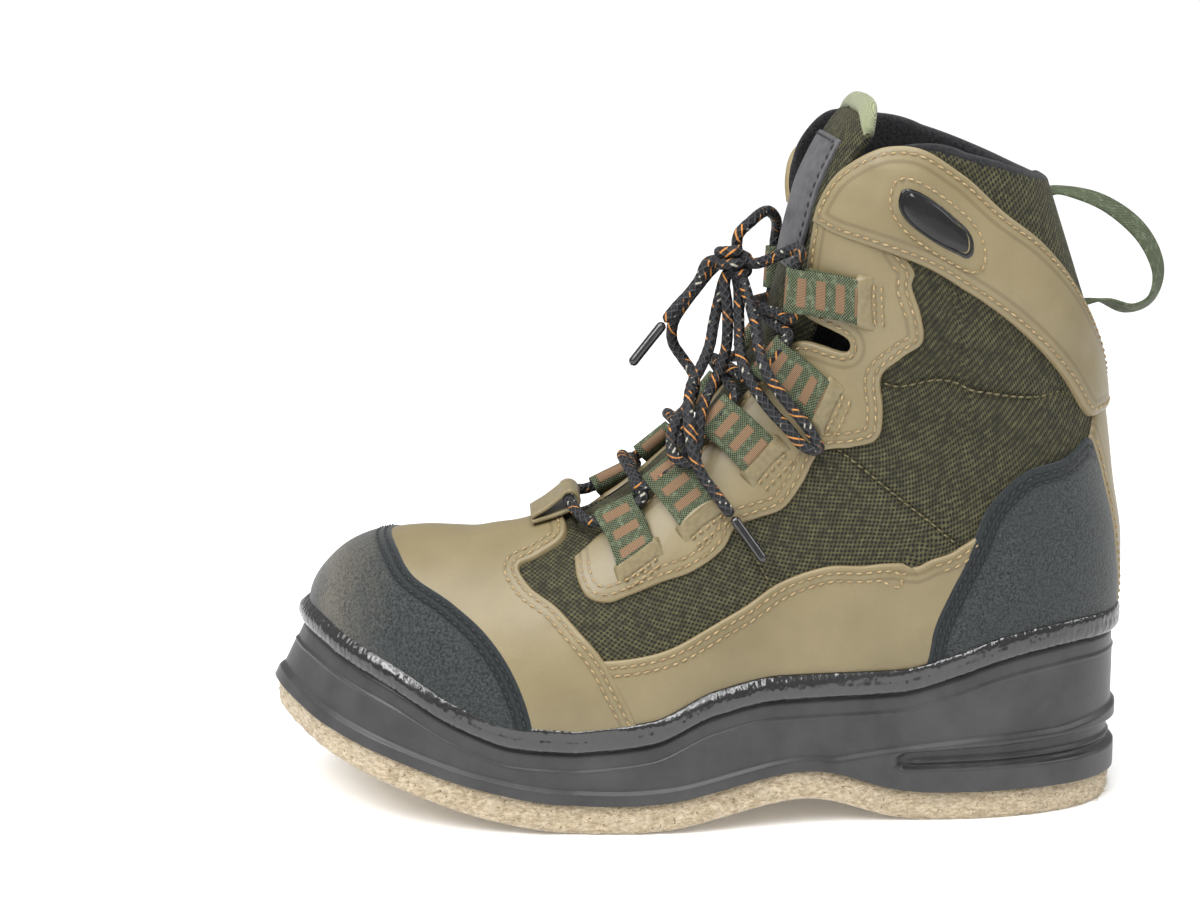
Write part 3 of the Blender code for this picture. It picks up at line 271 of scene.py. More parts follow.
# Lines on the last as (section, degrees around from the ridge), lateral side, from the ridge down
TOE_CAP_EDGE = [(4.2, 0), (4.4, 21), (4.8, 38), (5.6, 48), (6.2, 57), (6.7, 69), (7.0, 81)]
TOE_CAP_FOOT = 7.2
VAMP_EDGE = [(6.5, 34), (7.1, 40), (7.7, 50), (8.1, 61), (8.4, 71), (8.6, 83), (8.75, 94)]
VAMP_FOOT = 8.8
STRAP_EDGE = [(8.0, 0), (8.0, 21), (7.4, 27), (6.9, 31)]
MUDGUARD_TOP = [(8.9, 74), (9.5, 77), (10.3, 78), (10.9, 77.5), (11.5, 81), (11.9, 86),
                (12.1, 87.85), (12.4, 90.3), (12.7, 91.3), (12.95, 93.0), (13.2, 94.6), (13.55, 98.0)]
COUNTER_EDGE = [(16.3, 141), (15.6, 124), (14.9, 108), (14.4, 101), (13.9, 97), (13.4, 96), (12.6, 97),
                (12.2, 101)]
COUNTER_FOOT = 11.8
BACKSTAY_EDGE = [(16.3, 142.4), (16.0, 147), (15.4, 151), (14.9, 155), (14.5, 161)]
BACKSTAY_FOOT = 166.0
PATCH_TOP = [(16.2, 32), (16.9, 34), (17.7, 39), (18.6, 51), (19.1, 61), (19.5, 76), (19.5, 90), (19.25, 105),
             (19.1, 123), (18.8, 138), (18.4, 150), (17.9, 162), (17.5, 172), (17.4, 180)]
PATCH_FOOT = [(16.2, 32), (16.3, 45), (16.6, 60), (16.9, 74), (17.15, 88), (17.2, 103), (17.1, 116),
              (16.9, 128), (16.6, 141), (16.75, 152), (16.9, 166), (16.95, 180)]
EYESTAY_REAR = [(8.15, 33), (8.15, 42), (8.3, 50), (8.6, 54), (9.0, 55), (9.4, 57), (9.9, 61), (10.4, 61),
                (10.7, 58), (11.0, 60), (11.4, 63), (11.8, 62), (12.3, 60), (12.8, 66), (13.3, 71),
                (13.8, 70), (14.2, 68), (14.9, 74), (15.6, 81), (16.1, 81), (16.5, 79), (16.85, 80)]
THROAT_EDGE = [(8.2, 0), (8.22, 12), (8.4, 22), (8.9, 26), (9.5, 27), (10.1, 27), (10.8, 25), (11.6, 25),
               (12.4, 29), (13.35, 36), (14.1, 56), (14.3, 56), (14.0, 35), (15.0, 33), (16.2, 32)]
TOPLINE_LATERAL = [(16.9, 34), (17.7, 39), (18.6, 51), (19.1, 61), (19.9, 83), (20.3, 106), (20.5, 130),
                   (20.65, 160), (20.7, 180)]
TOPLINE_MEDIAL = [(17.2, 35), (18.3, 39), (19.2, 47), (19.7, 60), (20.2, 83), (20.5, 106), (20.65, 130),
                  (20.7, 160), (20.7, 180)]
TONGUE_EDGE = [(7.4, 0), (7.4, 22), (8.4, 30), (10.0, 36), (12.0, 38), (14.0, 40), (16.0, 40), (18.0, 38),
               (19.2, 34), (19.6, 28)]
INSERT_CENTRE = (18.1, 82.0)
INSERT_REACH = (0.50, 13.0)
COLLAR_WALL = 0.006
OVERLAY = 0.0012
TONGUE_THICKNESS = 0.0045


# The bow and the lace's ends as places over the last: section, degrees around, height in millimetres
BOW_COLUMNS = ("section", "degrees", "height")
KNOT_PLACE = (14.19, 5, 14.4)
KNOT_TURNS = 2.1
# Where each strand ends inside the knot, in metres from its middle
KNOT_IN = [np.array(p) / 1000 for p in (
    (1.8, 2.0, 1.0), (-1.8, 1.5, 1.5), (-1.6, -2.0, 1.0), (-1.6, -0.2, -1.0), (1.8, -0.2, -1.0),
    (1.8, 1.6, -1.0), (0.6, -2.0, 0.5), (0.2, 1.6, -1.0),
)]
AGLET_DIAMETER = 0.0036
TO_KNOT_MEDIAL = ((15.36, -31, 4.9), (15.51, -23, 2.6), (15.61, -12, 3.2), (15.58, -4, 5.9), (15.31, 1, 10.2),
                  (14.87, 3, 14.2))
TO_KNOT_LATERAL = ((14.32, 10, 7.2), (14.56, 14, 5.6), (15.00, 22, 3.4), (15.40, 30, 3.6), (15.38, 33, 5.0))
BOW_LEFT = (
    (13.65, 2, 21.1), (13.07, 2, 23.7), (12.28, 1, 25.9), (11.77, 0, 24.2), (11.54, -1, 18.6),
    (11.43, 3, 11.6), (11.26, 9, 9.0), (10.98, 15, 9.9), (10.63, 20, 12.2), (10.39, 25, 12.3),
    (10.32, 31, 10.4), (10.43, 34, 8.1), (10.66, 32, 8.6), (10.90, 28, 11.4), (11.20, 23, 11.6),
    (11.55, 17, 8.6), (12.09, 11, 7.4), (12.90, 8, 11.7), (13.63, 6, 15.6),
)
BOW_RIGHT = (
    (13.71, 6, 11.0), (12.77, 12, 7.7), (12.39, 21, 8.9), (12.19, 30, 10.5), (12.10, 40, 8.8),
    (12.14, 49, 7.5), (12.18, 56, 6.4), (12.23, 60, 5.5), (12.40, 58, 6.3), (12.43, 50, 7.0),
    (12.47, 42, 11.1), (12.68, 33, 13.2), (13.14, 23, 9.9), (13.77, 10, 10.2),
)
END_FRONT = ((13.97, 5, 23.0), (13.30, 5, 24.9), (12.46, 5, 29.0), (11.96, 5, 30.1))
END_REAR = (
    (13.70, 2, 14.6), (12.80, 4, 14.5), (11.94, 11, 13.6), (11.29, 18, 16.5), (11.00, 25, 18.0),
    (10.69, 32, 16.0), (10.56, 39, 9.9), (10.62, 47, 6.9), (10.69, 55, 5.5),
)
AGLET_LENGTH = 0.019


# Camera at the photograph's angle
CAMERA_PLACE = (0.7732, -0.1951, 0.3018)
CAMERA_AHEAD = (-0.9744, 0.0509, -0.219)
CAMERA_ROLL = 0.75
CAMERA_LENS = 65.86
CAMERA_SENSOR = 36.0


def add_object(name, data):
    """New object in the scene."""
    ob = bpy.data.objects.new(name, data)
    bpy.context.scene.collection.objects.link(ob)
    return ob


def add_camera():
    ahead = Vector(CAMERA_AHEAD).normalized()
    right = ahead.cross(Vector((0, 0, 1))).normalized()
    up = right.cross(ahead)
    turn = math.radians(CAMERA_ROLL)
    right, up = (right * math.cos(turn) + up * math.sin(turn), up * math.cos(turn) - right * math.sin(turn))
    data = bpy.data.cameras.new("camera")
    data.lens = CAMERA_LENS
    data.sensor_width = CAMERA_SENSOR
    data.clip_start = 0.05
    data.clip_end = 20.0
    ob = add_object("camera", data)
    ob.matrix_world = Matrix.Translation(CAMERA_PLACE) @ Matrix((right, up, -ahead)).transposed().to_4x4()
    bpy.context.scene.camera = ob


# Shader helpers
def new_material(name, colour, rough, **sockets):
    """Principled material; constant values are set on the shader's own sockets."""
    mat = bpy.data.materials.new(name)
    mat.use_nodes = True
    shader = mat.node_tree.nodes["Principled BSDF"]
    shader.inputs["Base Color"].default_value = (*colour, 1.0)
    shader.inputs["Roughness"].default_value = rough
    for key, value in sockets.items():
        shader.inputs[key.replace("_", " ")].default_value = value
    return mat, mat.node_tree, shader


def put(tree, kind, inputs=None, **settings):
    """New node with settings, its inputs linked from sockets or set to values."""
    node = tree.nodes.new(kind)
    for key, value in settings.items():
        setattr(node, key, value)
    for key, value in (inputs or {}).items():
        if isinstance(value, bpy.types.NodeSocket):
            tree.links.new(value, node.inputs[key])
        else:
            node.inputs[key].default_value = value
    return node


def math_node(tree, operation, a, b=0.0, c=0.0):
    return put(tree, "ShaderNodeMath", {0: a, 1: b, 2: c}, operation=operation).outputs[0]


def times(tree, a, b):
    return math_node(tree, "MULTIPLY", a, b)


def plus(tree, a, b):
    return math_node(tree, "ADD", a, b)


def minus(tree, a, b):
    return math_node(tree, "SUBTRACT", a, b)


def apart(tree, a, b):
    """How far two values lie apart."""
    return math_node(tree, "ABSOLUTE", minus(tree, a, b))


def wave(tree, value, pitch, kind="SINE"):
    """Wave with a pitch in metres."""
    return math_node(tree, kind, times(tree, value, 2 * math.pi / pitch))


def fade(tree, value, low, high, out_low=0.0, out_high=1.0):
    """A value taken from its own range to another and held at the ends."""
    node = put(tree, "ShaderNodeMapRange", {"Value": value, "From Min": low, "From Max": high,
                                            "To Min": out_low, "To Max": out_high})
    return node.outputs[0]


def mixed(tree, factor, a, b, mode="MIX"):
    node = put(tree, "ShaderNodeMix", data_type="RGBA", blend_type=mode)
    for key, value in ((0, factor), (6, a), (7, b)):
        if isinstance(value, bpy.types.NodeSocket):
            tree.links.new(value, node.inputs[key])
        else:
            node.inputs[key].default_value = (*value, 1.0) if key and len(value) == 3 else value
    return node.outputs[2]


def noise(tree, place, scale, detail=3.0, rough=0.55):
    inputs = {"Vector": place, "Scale": scale, "Detail": detail, "Roughness": rough}
    return put(tree, "ShaderNodeTexNoise", inputs).outputs[0]


def cells(tree, place, scale):
    return put(tree, "ShaderNodeTexVoronoi", {"Vector": place, "Scale": scale}, feature="SMOOTH_F1").outputs[0]


def bump(tree, height, distance, strength=1.0, below=None):
    inputs = {"Height": height, "Distance": distance, "Strength": strength}
    if below is not None:
        inputs["Normal"] = below
    return put(tree, "ShaderNodeBump", inputs).outputs[0]


def place_of(tree):
    return put(tree, "ShaderNodeTexCoord").outputs["Object"]


def named(tree, name):
    return put(tree, "ShaderNodeAttribute", attribute_name=name).outputs["Fac"]


def uv_of(tree):
    split = put(tree, "ShaderNodeSeparateXYZ", {0: put(tree, "ShaderNodeUVMap", uv_map="UVMap").outputs[0]})
    return split.outputs[0], split.outputs[1]


# Rows of stitches in millimetres from the sewn edge, and the main colours
TAN_ROWS = (2.4, 5.2)
GREY_ROWS = (2.6, 5.4)
LEATHER_TAN = (0.200, 0.152, 0.088)
SUEDE_BLUE = (0.040, 0.052, 0.056)
DUST = (0.150, 0.120, 0.075)
MESH_DARK = (0.006, 0.006, 0.003)
MESH_LIGHT = (0.094, 0.088, 0.039)
RUBBER_GREY = (0.024, 0.025, 0.027)
FELT_PALE = (0.78, 0.66, 0.48)
FELT_DARK = (0.36, 0.27, 0.155)


def leather():
    mat, tree, shader = new_material("tan_leather", LEATHER_TAN, 0.42, Specular_IOR_Level=0.45,
                                     Coat_Weight=0.06)
    place = place_of(tree)
    edge = named(tree, "edge")
    cloud = noise(tree, place, 28.0, 4.0)
    colour = mixed(tree, fade(tree, cloud, 0.35, 0.65), (0.168, 0.134, 0.067), (0.212, 0.171, 0.089))
    speck = noise(tree, place, 900.0, 2.0)
    colour = mixed(tree, fade(tree, speck, 0.55, 0.75, 0.0, 0.25), colour, (0.15, 0.11, 0.055))
    # Painted highlight: lighter colour along the rounded edges, fading out about a millimetre from the rim
    rim = fade(tree, edge, 0.0, 1.1, 1.0, 0.0)
    colour = mixed(tree, times(tree, rim, 0.5), colour, (0.30, 0.225, 0.125))
    seam = named(tree, "seam")
    # Painted shade: darker colour in the stitch grooves along each row of stitches
    for row in TAN_ROWS:
        trough = apart(tree, seam, row)
        near = fade(tree, trough, 0.35, 0.9, 0.42, 0.0)
        colour = mixed(tree, near, colour, (0.085, 0.058, 0.027))
    tree.links.new(colour, shader.inputs["Base Color"])
    rough = fade(tree, cloud, 0.3, 0.7, 0.38, 0.50)
    tree.links.new(rough, shader.inputs["Roughness"])
    grain = cells(tree, place, 1100.0)
    first = bump(tree, grain, 0.00006, 0.5)
    second = bump(tree, noise(tree, place, 130.0, 3.0), 0.0005, 0.35, first)
    tree.links.new(second, shader.inputs["Normal"])
    return mat


def suede():
    mat, tree, shader = new_material("grey_suede", SUEDE_BLUE, 0.85, Specular_IOR_Level=0.3, Sheen_Weight=0.25,
                                     Sheen_Roughness=0.5)
    place = place_of(tree)
    fine = noise(tree, place, 1100.0, 2.0, 0.7)
    cloud = noise(tree, place, 60.0, 4.0, 0.6)
    colour = mixed(tree, fade(tree, fine, 0.36, 0.66), (0.004, 0.006, 0.007), (0.043, 0.050, 0.049))
    colour = mixed(tree, fade(tree, cloud, 0.40, 0.68, 0.0, 0.45), colour, (0.024, 0.029, 0.030))
    height = put(tree, "ShaderNodeSeparateXYZ", {0: place}).outputs
    ahead = fade(tree, height[1], -0.222, -0.262, 0.0, 0.85)
    blotch = fade(tree, noise(tree, place, 38.0, 3.0), 0.38, 0.62)
    dust = times(tree, times(tree, ahead, blotch), fade(tree, fine, 0.3, 0.6))
    colour = mixed(tree, times(tree, dust, 0.75), colour, DUST)
    seam = named(tree, "seam")
    colour = mixed(tree, fade(tree, seam, 5.6, 7.2, 0.72, 0.0), colour, (0.009, 0.013, 0.015))
    # Painted shade: near-black colour in the stitch grooves along each row of stitches
    for row in GREY_ROWS:
        trough = apart(tree, seam, row)
        colour = mixed(tree, fade(tree, trough, 0.4, 1.0, 0.8, 0.0), colour, (0.002, 0.003, 0.004))
    tree.links.new(colour, shader.inputs["Base Color"])
    first = bump(tree, fine, 0.0004, 0.7)
    second = bump(tree, noise(tree, place, 1600.0, 2.0), 0.0002, 0.5, first)
    tree.links.new(second, shader.inputs["Normal"])
    return mat


def woven(name, dark, light, pitch, rise=0.0005):
    """Open mesh: light threads in slanted rows over a dark ground, along the piece's own width and length."""
    mat, tree, shader = new_material(name, light, 0.72, Specular_IOR_Level=0.35)
    place = place_of(tree)
    wander = times(tree, minus(tree, noise(tree, place, 60.0, 2.0), 0.5), 0.0016)
    u, v = uv_of(tree)
    u = plus(tree, u, wander)
    row = wave(tree, u, 1.35 * pitch, "COSINE")
    dash = wave(tree, v, pitch, "COSINE")
    hole = times(tree, row, dash)
    strand_ = wave(tree, plus(tree, u, v), 0.0005)
    level = times(tree, fade(tree, hole, -0.06, 0.30, 1.0, 0.0),
                      fade(tree, strand_, -1.0, 0.6, 0.62, 1.0))
    tone = noise(tree, place, 420.0, 2.0)
    bright = mixed(tree, fade(tree, tone, 0.35, 0.68), (light[0] * 0.5, light[1] * 0.5, light[2] * 0.5),
                   (light[0] * 1.6, light[1] * 1.6, light[2] * 1.6))
    tree.links.new(mixed(tree, level, dark, bright), shader.inputs["Base Color"])
    first = bump(tree, level, rise, 1.0)
    tree.links.new(bump(tree, noise(tree, place, 2500.0, 2.0), 0.0001, 0.6, first), shader.inputs["Normal"])
    return mat


def rubber(name, rough_low, rough_high, lump=0.0, lump_scale=500.0, dust=0.25, stretch=1.0, bright=1.0,
           spec=0.42):
    """Dark rubber with dust in its haze and, where a lump height is given, a lumpy surface."""
    mat, tree, shader = new_material(name, RUBBER_GREY, rough_high, Specular_IOR_Level=spec)
    place = place_of(tree)
    cloud = noise(tree, place, 45.0, 4.0, 0.6)
    haze = noise(tree, place, 1500.0, 2.0)
    colour = mixed(tree, fade(tree, cloud, 0.35, 0.7), tuple(c * bright for c in (0.0080, 0.0080, 0.0082)),
                   tuple(c * bright for c in (0.0170, 0.0168, 0.0168)))
    colour = mixed(tree, fade(tree, haze, 0.6, 0.8, 0.0, dust), colour, (0.04, 0.038, 0.035))
    tree.links.new(colour, shader.inputs["Base Color"])
    tree.links.new(fade(tree, cloud, 0.3, 0.7, rough_low, rough_high), shader.inputs["Roughness"])
    normal = bump(tree, haze, 0.00004, 0.4)
    if lump:
        long = put(tree, "ShaderNodeMapping", {"Vector": place, "Scale": (1.0, 1.0, stretch)}).outputs[0]
        normal = bump(tree, cells(tree, long, lump_scale), lump, 0.8, normal)
    tree.links.new(normal, shader.inputs["Normal"])
    return mat


def felt():
    mat, tree, shader = new_material("beige_felt", FELT_PALE, 0.95, Specular_IOR_Level=0.15, Sheen_Weight=0.3)
    place = place_of(tree)
    long = put(tree, "ShaderNodeMapping", {"Vector": place, "Scale": (1.0, 1.0, 2.2)}).outputs[0]
    fibre = noise(tree, long, 420.0, 4.0, 0.75)
    cloud = noise(tree, place, 120.0, 3.0)
    colour = mixed(tree, fade(tree, fibre, 0.36, 0.64), FELT_DARK, FELT_PALE)
    colour = mixed(tree, fade(tree, cloud, 0.5, 0.75, 0.0, 0.45), colour, (0.60, 0.52, 0.40))
    speck = noise(tree, place, 800.0, 1.0)
    colour = mixed(tree, fade(tree, speck, 0.66, 0.74, 0.0, 0.8), colour, (0.09, 0.055, 0.03))
    tree.links.new(colour, shader.inputs["Base Color"])
    first = bump(tree, fibre, 0.0016, 1.0)
    tree.links.new(bump(tree, noise(tree, place, 1400.0, 2.0), 0.0003, 0.7, first), shader.inputs["Normal"])
    return mat


def fleece():
    mat, tree, shader = new_material("black_fleece", (0.012, 0.012, 0.013), 0.95, Specular_IOR_Level=0.1,
                                     Sheen_Weight=0.10, Sheen_Roughness=0.6)
    place = place_of(tree)
    pile = noise(tree, place, 900.0, 3.0, 0.7)
    tree.links.new(mixed(tree, fade(tree, pile, 0.35, 0.7), (0.004, 0.004, 0.005), (0.024, 0.024, 0.026)),
                   shader.inputs["Base Color"])
    tree.links.new(bump(tree, pile, 0.0008, 0.8), shader.inputs["Normal"])
    return mat


def webbing(name="olive_webbing", blocks=True):
    """Ribbed tape: ribs along its length (u), picks across it (v), brown blocks in three columns."""
    mat, tree, shader = new_material(name, (0.09, 0.10, 0.05), 0.75, Specular_IOR_Level=0.3)
    u, v = uv_of(tree)
    place = place_of(tree)
    rib = wave(tree, u, 1.15 * MM)
    pick = wave(tree, v, 0.95 * MM)
    cell = times(tree, rib, pick)
    level = fade(tree, cell, -0.5, 0.6)
    ground = mixed(tree, level, (0.012, 0.017, 0.009), (0.150, 0.180, 0.100))
    tone = noise(tree, place, 500.0, 2.0)
    ground = mixed(tree, fade(tree, tone, 0.5, 0.75, 0.0, 0.5), ground, (0.26, 0.31, 0.20))
    if blocks:
        band = wave(tree, v, 6.9 * MM)
        column_ = apart(tree, u, 7.5 * MM)
        inside = fade(tree, column_, 4.9 * MM, 5.4 * MM, 1.0, 0.0)
        mask = times(tree, fade(tree, band, -0.08, 0.12), inside)
        strand_ = wave(tree, u, 0.55 * MM)
        brown = mixed(tree, fade(tree, strand_, -0.7, 0.7), (0.080, 0.047, 0.025), (0.255, 0.155, 0.086))
        ground = mixed(tree, mask, ground, brown)
        level = math_node(tree, "MAXIMUM", level, mask)
    tree.links.new(ground, shader.inputs["Base Color"])
    tree.links.new(bump(tree, level, 0.0004, 1.0), shader.inputs["Normal"])
    return mat


def braid():
    """Round braid: black strands that cross in a helix each way, with orange and off-white flecks."""
    mat, tree, shader = new_material("lace_braid", (0.02, 0.02, 0.022), 0.6, Specular_IOR_Level=0.4)
    u, v = uv_of(tree)
    place = place_of(tree)
    turn = times(tree, u, 2 * math.pi * 4)
    along = times(tree, v, 2 * math.pi / BRAID_PITCH)
    one = math_node(tree, "SINE", plus(tree, turn, along))
    two = math_node(tree, "SINE", minus(tree, turn, along))
    level = math_node(tree, "MAXIMUM", one, two)
    relief = fade(tree, level, -0.1, 1.0)
    ground = mixed(tree, relief, (0.003, 0.003, 0.004), (0.026, 0.027, 0.031))
    fleck = math_node(tree, "SINE", plus(tree, times(tree, v, 2 * math.pi / (12.0 * MM)),
                                              times(tree, u, 2 * math.pi)))
    gate = noise(tree, place, 230.0, 1.0)
    on = times(tree, fade(tree, fleck, 0.05, 0.30), fade(tree, gate, 0.50, 0.55))
    other = times(tree, fade(tree, fleck, -0.55, -0.75), fade(tree, gate, 0.56, 0.60))
    bit = fade(tree, one, 0.45, 0.75)
    ground = mixed(tree, times(tree, on, bit), ground, (0.52, 0.21, 0.045))
    tick = fade(tree, two, 0.3, 0.6)
    ground = mixed(tree, times(tree, other, tick), ground, (0.40, 0.38, 0.31))
    tree.links.new(ground, shader.inputs["Base Color"])
    first = bump(tree, relief, 0.0006, 1.0)
    tree.links.new(bump(tree, noise(tree, place, 3000.0, 1.0), 0.0001, 0.5, first), shader.inputs["Normal"])
    return mat


def thread(name, dark, light, rough=0.55):
    mat, tree, shader = new_material(name, light, rough, Specular_IOR_Level=0.4)
    tone = noise(tree, place_of(tree), 1300.0, 2.0)
    tree.links.new(mixed(tree, fade(tree, tone, 0.35, 0.65), dark, light), shader.inputs["Base Color"])
    return mat


def tape():
    mat, tree, shader = new_material("green_tape", (0.30, 0.33, 0.18), 0.7, Specular_IOR_Level=0.3,
                                     Sheen_Weight=0.2)
    u, v = uv_of(tree)
    twill = wave(tree, plus(tree, u, v), 0.8 * MM)
    level = fade(tree, twill, -0.8, 0.8)
    tree.links.new(mixed(tree, level, (0.16, 0.18, 0.085), (0.33, 0.355, 0.21)), shader.inputs["Base Color"])
    tree.links.new(bump(tree, level, 0.0003, 0.8), shader.inputs["Normal"])
    return mat


def plain(name, low, high, rough, scale=300.0, rise=0.0002, **sockets):
    mat, tree, shader = new_material(name, high, rough, **sockets)
    place = place_of(tree)
    tone = noise(tree, place, scale, 3.0)
    tree.links.new(mixed(tree, fade(tree, tone, 0.35, 0.65), low, high), shader.inputs["Base Color"])
    tree.links.new(bump(tree, tone, rise, 0.6), shader.inputs["Normal"])
    return mat


# Mesh helpers
def add_piece(name, verts, faces, mats, face_mats=None, uv=None, edge=None, seam=None, smooth=True):
    """Piece from points in metres, with its materials, its map and its distances to edge and seam."""
    mesh = bpy.data.meshes.new(name)
    mesh.from_pydata([tuple(map(float, p)) for p in verts], [], [tuple(map(int, f)) for f in faces])
    for mat in (mats if isinstance(mats, (list, tuple)) else [mats]):
        mesh.materials.append(mat)
    if face_mats is not None:
        mesh.polygons.foreach_set("material_index", np.asarray(face_mats, dtype=np.int32))
    if uv is not None:
        layer = mesh.uv_layers.new(name="UVMap")
        corner = np.empty(len(mesh.loops), dtype=np.int32)
        mesh.loops.foreach_get("vertex_index", corner)
        layer.data.foreach_set("uv", np.asarray(uv, dtype=np.float32)[corner].ravel())
    for kind, values in (("edge", edge), ("seam", seam)):
        if values is not None:
            layer = mesh.attributes.new(kind, "FLOAT", "POINT")
            layer.data.foreach_set("value", np.asarray(values, dtype=np.float32))
    mesh.polygons.foreach_set("use_smooth", np.full(len(mesh.polygons), smooth))
    mesh.validate()
    mesh.update()
    ob = add_object(name, mesh)
    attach(ob, "root")
    return ob


def dress(ob, slot, *nodes):
    """Hides the solids that a piece stands for; the slot argument is not used."""
    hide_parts(*nodes)


def unit(v):
    return v / np.maximum(np.linalg.norm(v, axis=-1, keepdims=True), 1e-12)


def wrapped(degrees):
    """Degrees past 180 brought round to the medial side."""
    return np.where(degrees > 180, degrees - 360, degrees)


def wrapped_point(section, degrees):
    """Point on the last, where degrees past 180 come round to the medial side."""
    degrees = wrapped(np.asarray(degrees, float))
    return last_point(section, np.where(degrees < -180, degrees + 360, degrees))


def surface(section, degrees):
    """Points on the last, their outward normals, and the steps along section and around."""
    ds, dd = 0.02, 0.4
    p = wrapped_point(section, degrees)
    along = (wrapped_point(section + ds, degrees) - wrapped_point(section - ds, degrees)) / (2 * ds)
    around = (wrapped_point(section, degrees + dd) - wrapped_point(section, degrees - dd)) / (2 * dd)
    return p, unit(np.cross(around, along)), along, around


# Rough millimetres over the last for one section and one degree, and how much of its distance an inset keeps
SECTION_SCALE = 16.0
DEGREE_SCALE = 0.85
INSET_KEPT = 0.93
CHUNK = 2000


def smooth_line(line, step=0.9):
    """Places on the last along a smooth curve through a line's places, about a step of millimetres apart."""
    line = np.array(line, float)
    flat = line * (SECTION_SCALE, DEGREE_SCALE)
    gap = np.maximum(np.linalg.norm(np.diff(flat, axis=0), axis=1), 1e-6) ** 0.5
    t = np.concatenate(([0], np.cumsum(gap)))
    if len(line) == 2:
        fine = np.linspace(line[0], line[1], 60)
    else:
        slope = np.gradient(line, t, axis=0)
        at = np.linspace(0, t[-1], 30 * len(line))
        fine = np.stack([hermite(t, line[:, k], slope[:, k], at) for k in range(2)], axis=1)
    p = wrapped_point(fine[:, 0], fine[:, 1])
    run = run_length(p) * 1000
    count = max(3, int(round(run[-1] / step)) + 1)
    at = np.linspace(0, run[-1], count)
    return at_runs(at, run, fine)


def joined(lines):
    """Closed loop of places from lines that meet end to end, and each place's line number."""
    loop, tag = [], []
    for number, line in enumerate(lines):
        loop.append(line[:-1])
        tag += [number] * (len(line) - 1)
    return np.concatenate(loop), np.array(tag)


def loop_area(loop):
    x, y = loop[:, 0], loop[:, 1]
    return 0.5 * np.sum(x * np.roll(y, -1) - np.roll(x, -1) * y)


def distance_to(points, line):
    """Shortest distance from each point to a run of close points, in millimetres."""
    result = np.empty(len(points))
    for k in range(0, len(points), CHUNK):
        apart_ = points[k:k + CHUNK, None, :] - line[None, :, :]
        result[k:k + CHUNK] = np.sqrt((apart_ ** 2).sum(axis=2).min(axis=1)) * 1000
    return result


def inset(loop, distance):
    """The loop moved inward over the surface by millimetres, and which of its places are good."""
    p, normal, along, around = surface(loop[:, 0], loop[:, 1])
    tangent = unit(np.roll(p, -1, axis=0) - np.roll(p, 1, axis=0))
    side = unit(np.cross(normal, tangent)) * distance * MM
    a, b, d = (along * along).sum(1), (along * around).sum(1), (around * around).sum(1)
    e, f = (along * side).sum(1), (around * side).sum(1)
    det = a * d - b * b + 1e-20
    move = np.stack(((e * d - f * b) / det, (a * f - b * e) / det), axis=1)
    ahead = np.roll(loop, -1, axis=0) - np.roll(loop, 1, axis=0)
    left = np.sign(loop_area(loop)) * (ahead[:, 0] * move[:, 1] - ahead[:, 1] * move[:, 0])
    flip = np.where(np.median(left) < 0, -1.0, 1.0)
    result = loop + move * flip
    q = wrapped_point(result[:, 0], result[:, 1])
    return result, distance_to(q, p) > INSET_KEPT * distance


def inside(points, loop):
    """Which points lie inside a closed loop."""
    result = np.zeros(len(points), dtype=bool)
    x, y = points[:, 0], points[:, 1]
    a, b = loop, np.roll(loop, -1, axis=0)
    for k in range(len(loop)):
        if a[k, 1] == b[k, 1]:
            continue
        hit = (a[k, 1] > y) != (b[k, 1] > y)
        cross = (b[k, 0] - a[k, 0]) * (y - a[k, 1]) / (b[k, 1] - a[k, 1]) + a[k, 0]
        result ^= hit & (x < cross)
    return result


def filled(loop, step, rings, joins=()):
    """Places that fill a loop, and triangles between them."""
    sets = [loop]
    for distance in rings:
        moved, good = inset(loop, distance)
        sets.append(moved[good])
    low, high = loop.min(axis=0), loop.max(axis=0)
    gs, gd = step / SECTION_SCALE, step / DEGREE_SCALE
    rows = np.arange(low[0], high[0], gs)
    cols = np.arange(low[1], high[1], gd)
    grid = np.array([(r, c + (0.5 * gd if i % 2 else 0.0)) for i, r in enumerate(rows) for c in cols])
    grid = grid[inside(grid, loop)]
    p = wrapped_point(grid[:, 0], grid[:, 1])
    edge = wrapped_point(loop[:, 0], loop[:, 1])
    grid = grid[distance_to(p, edge) > (rings[-1] if rings else 0) + 0.55 * step]
    for line in joins:
        at = smooth_line(line, 1.1) * (SECTION_SCALE, DEGREE_SCALE)
        ahead = unit(np.gradient(at, axis=0))
        across = np.stack((-ahead[:, 1], ahead[:, 0]), axis=1)
        near = np.linalg.norm(grid[:, None] * (SECTION_SCALE, DEGREE_SCALE) - at[None], axis=2).min(axis=1)
        grid = grid[near > 2.6]
        for shift in (-1.9, -1.1, -0.5, 0.0, 0.5, 1.1, 1.9):
            row = (at + across * shift) / (SECTION_SCALE, DEGREE_SCALE)
            row = row[inside(row, loop)]
            far = distance_to(wrapped_point(row[:, 0], row[:, 1]), edge) > rings[-1] + 0.6
            sets.append(row[far])
    sets.append(grid)
    places = np.concatenate(sets)
    flat = [Vector((float(s) * SECTION_SCALE, float(d) * DEGREE_SCALE)) for s, d in places]
    ring = list(range(len(loop)))
    if loop_area(loop) < 0:
        ring.reverse()
    verts, _, faces, _, _, origin = geometry.delaunay_2d_cdt(flat, [], [ring], 0, 1e-4)
    verts = np.array([tuple(v) for v in verts]) / (SECTION_SCALE, DEGREE_SCALE)
    kept = [f for f, source in zip(faces, origin) if source]
    return verts, np.array(kept)


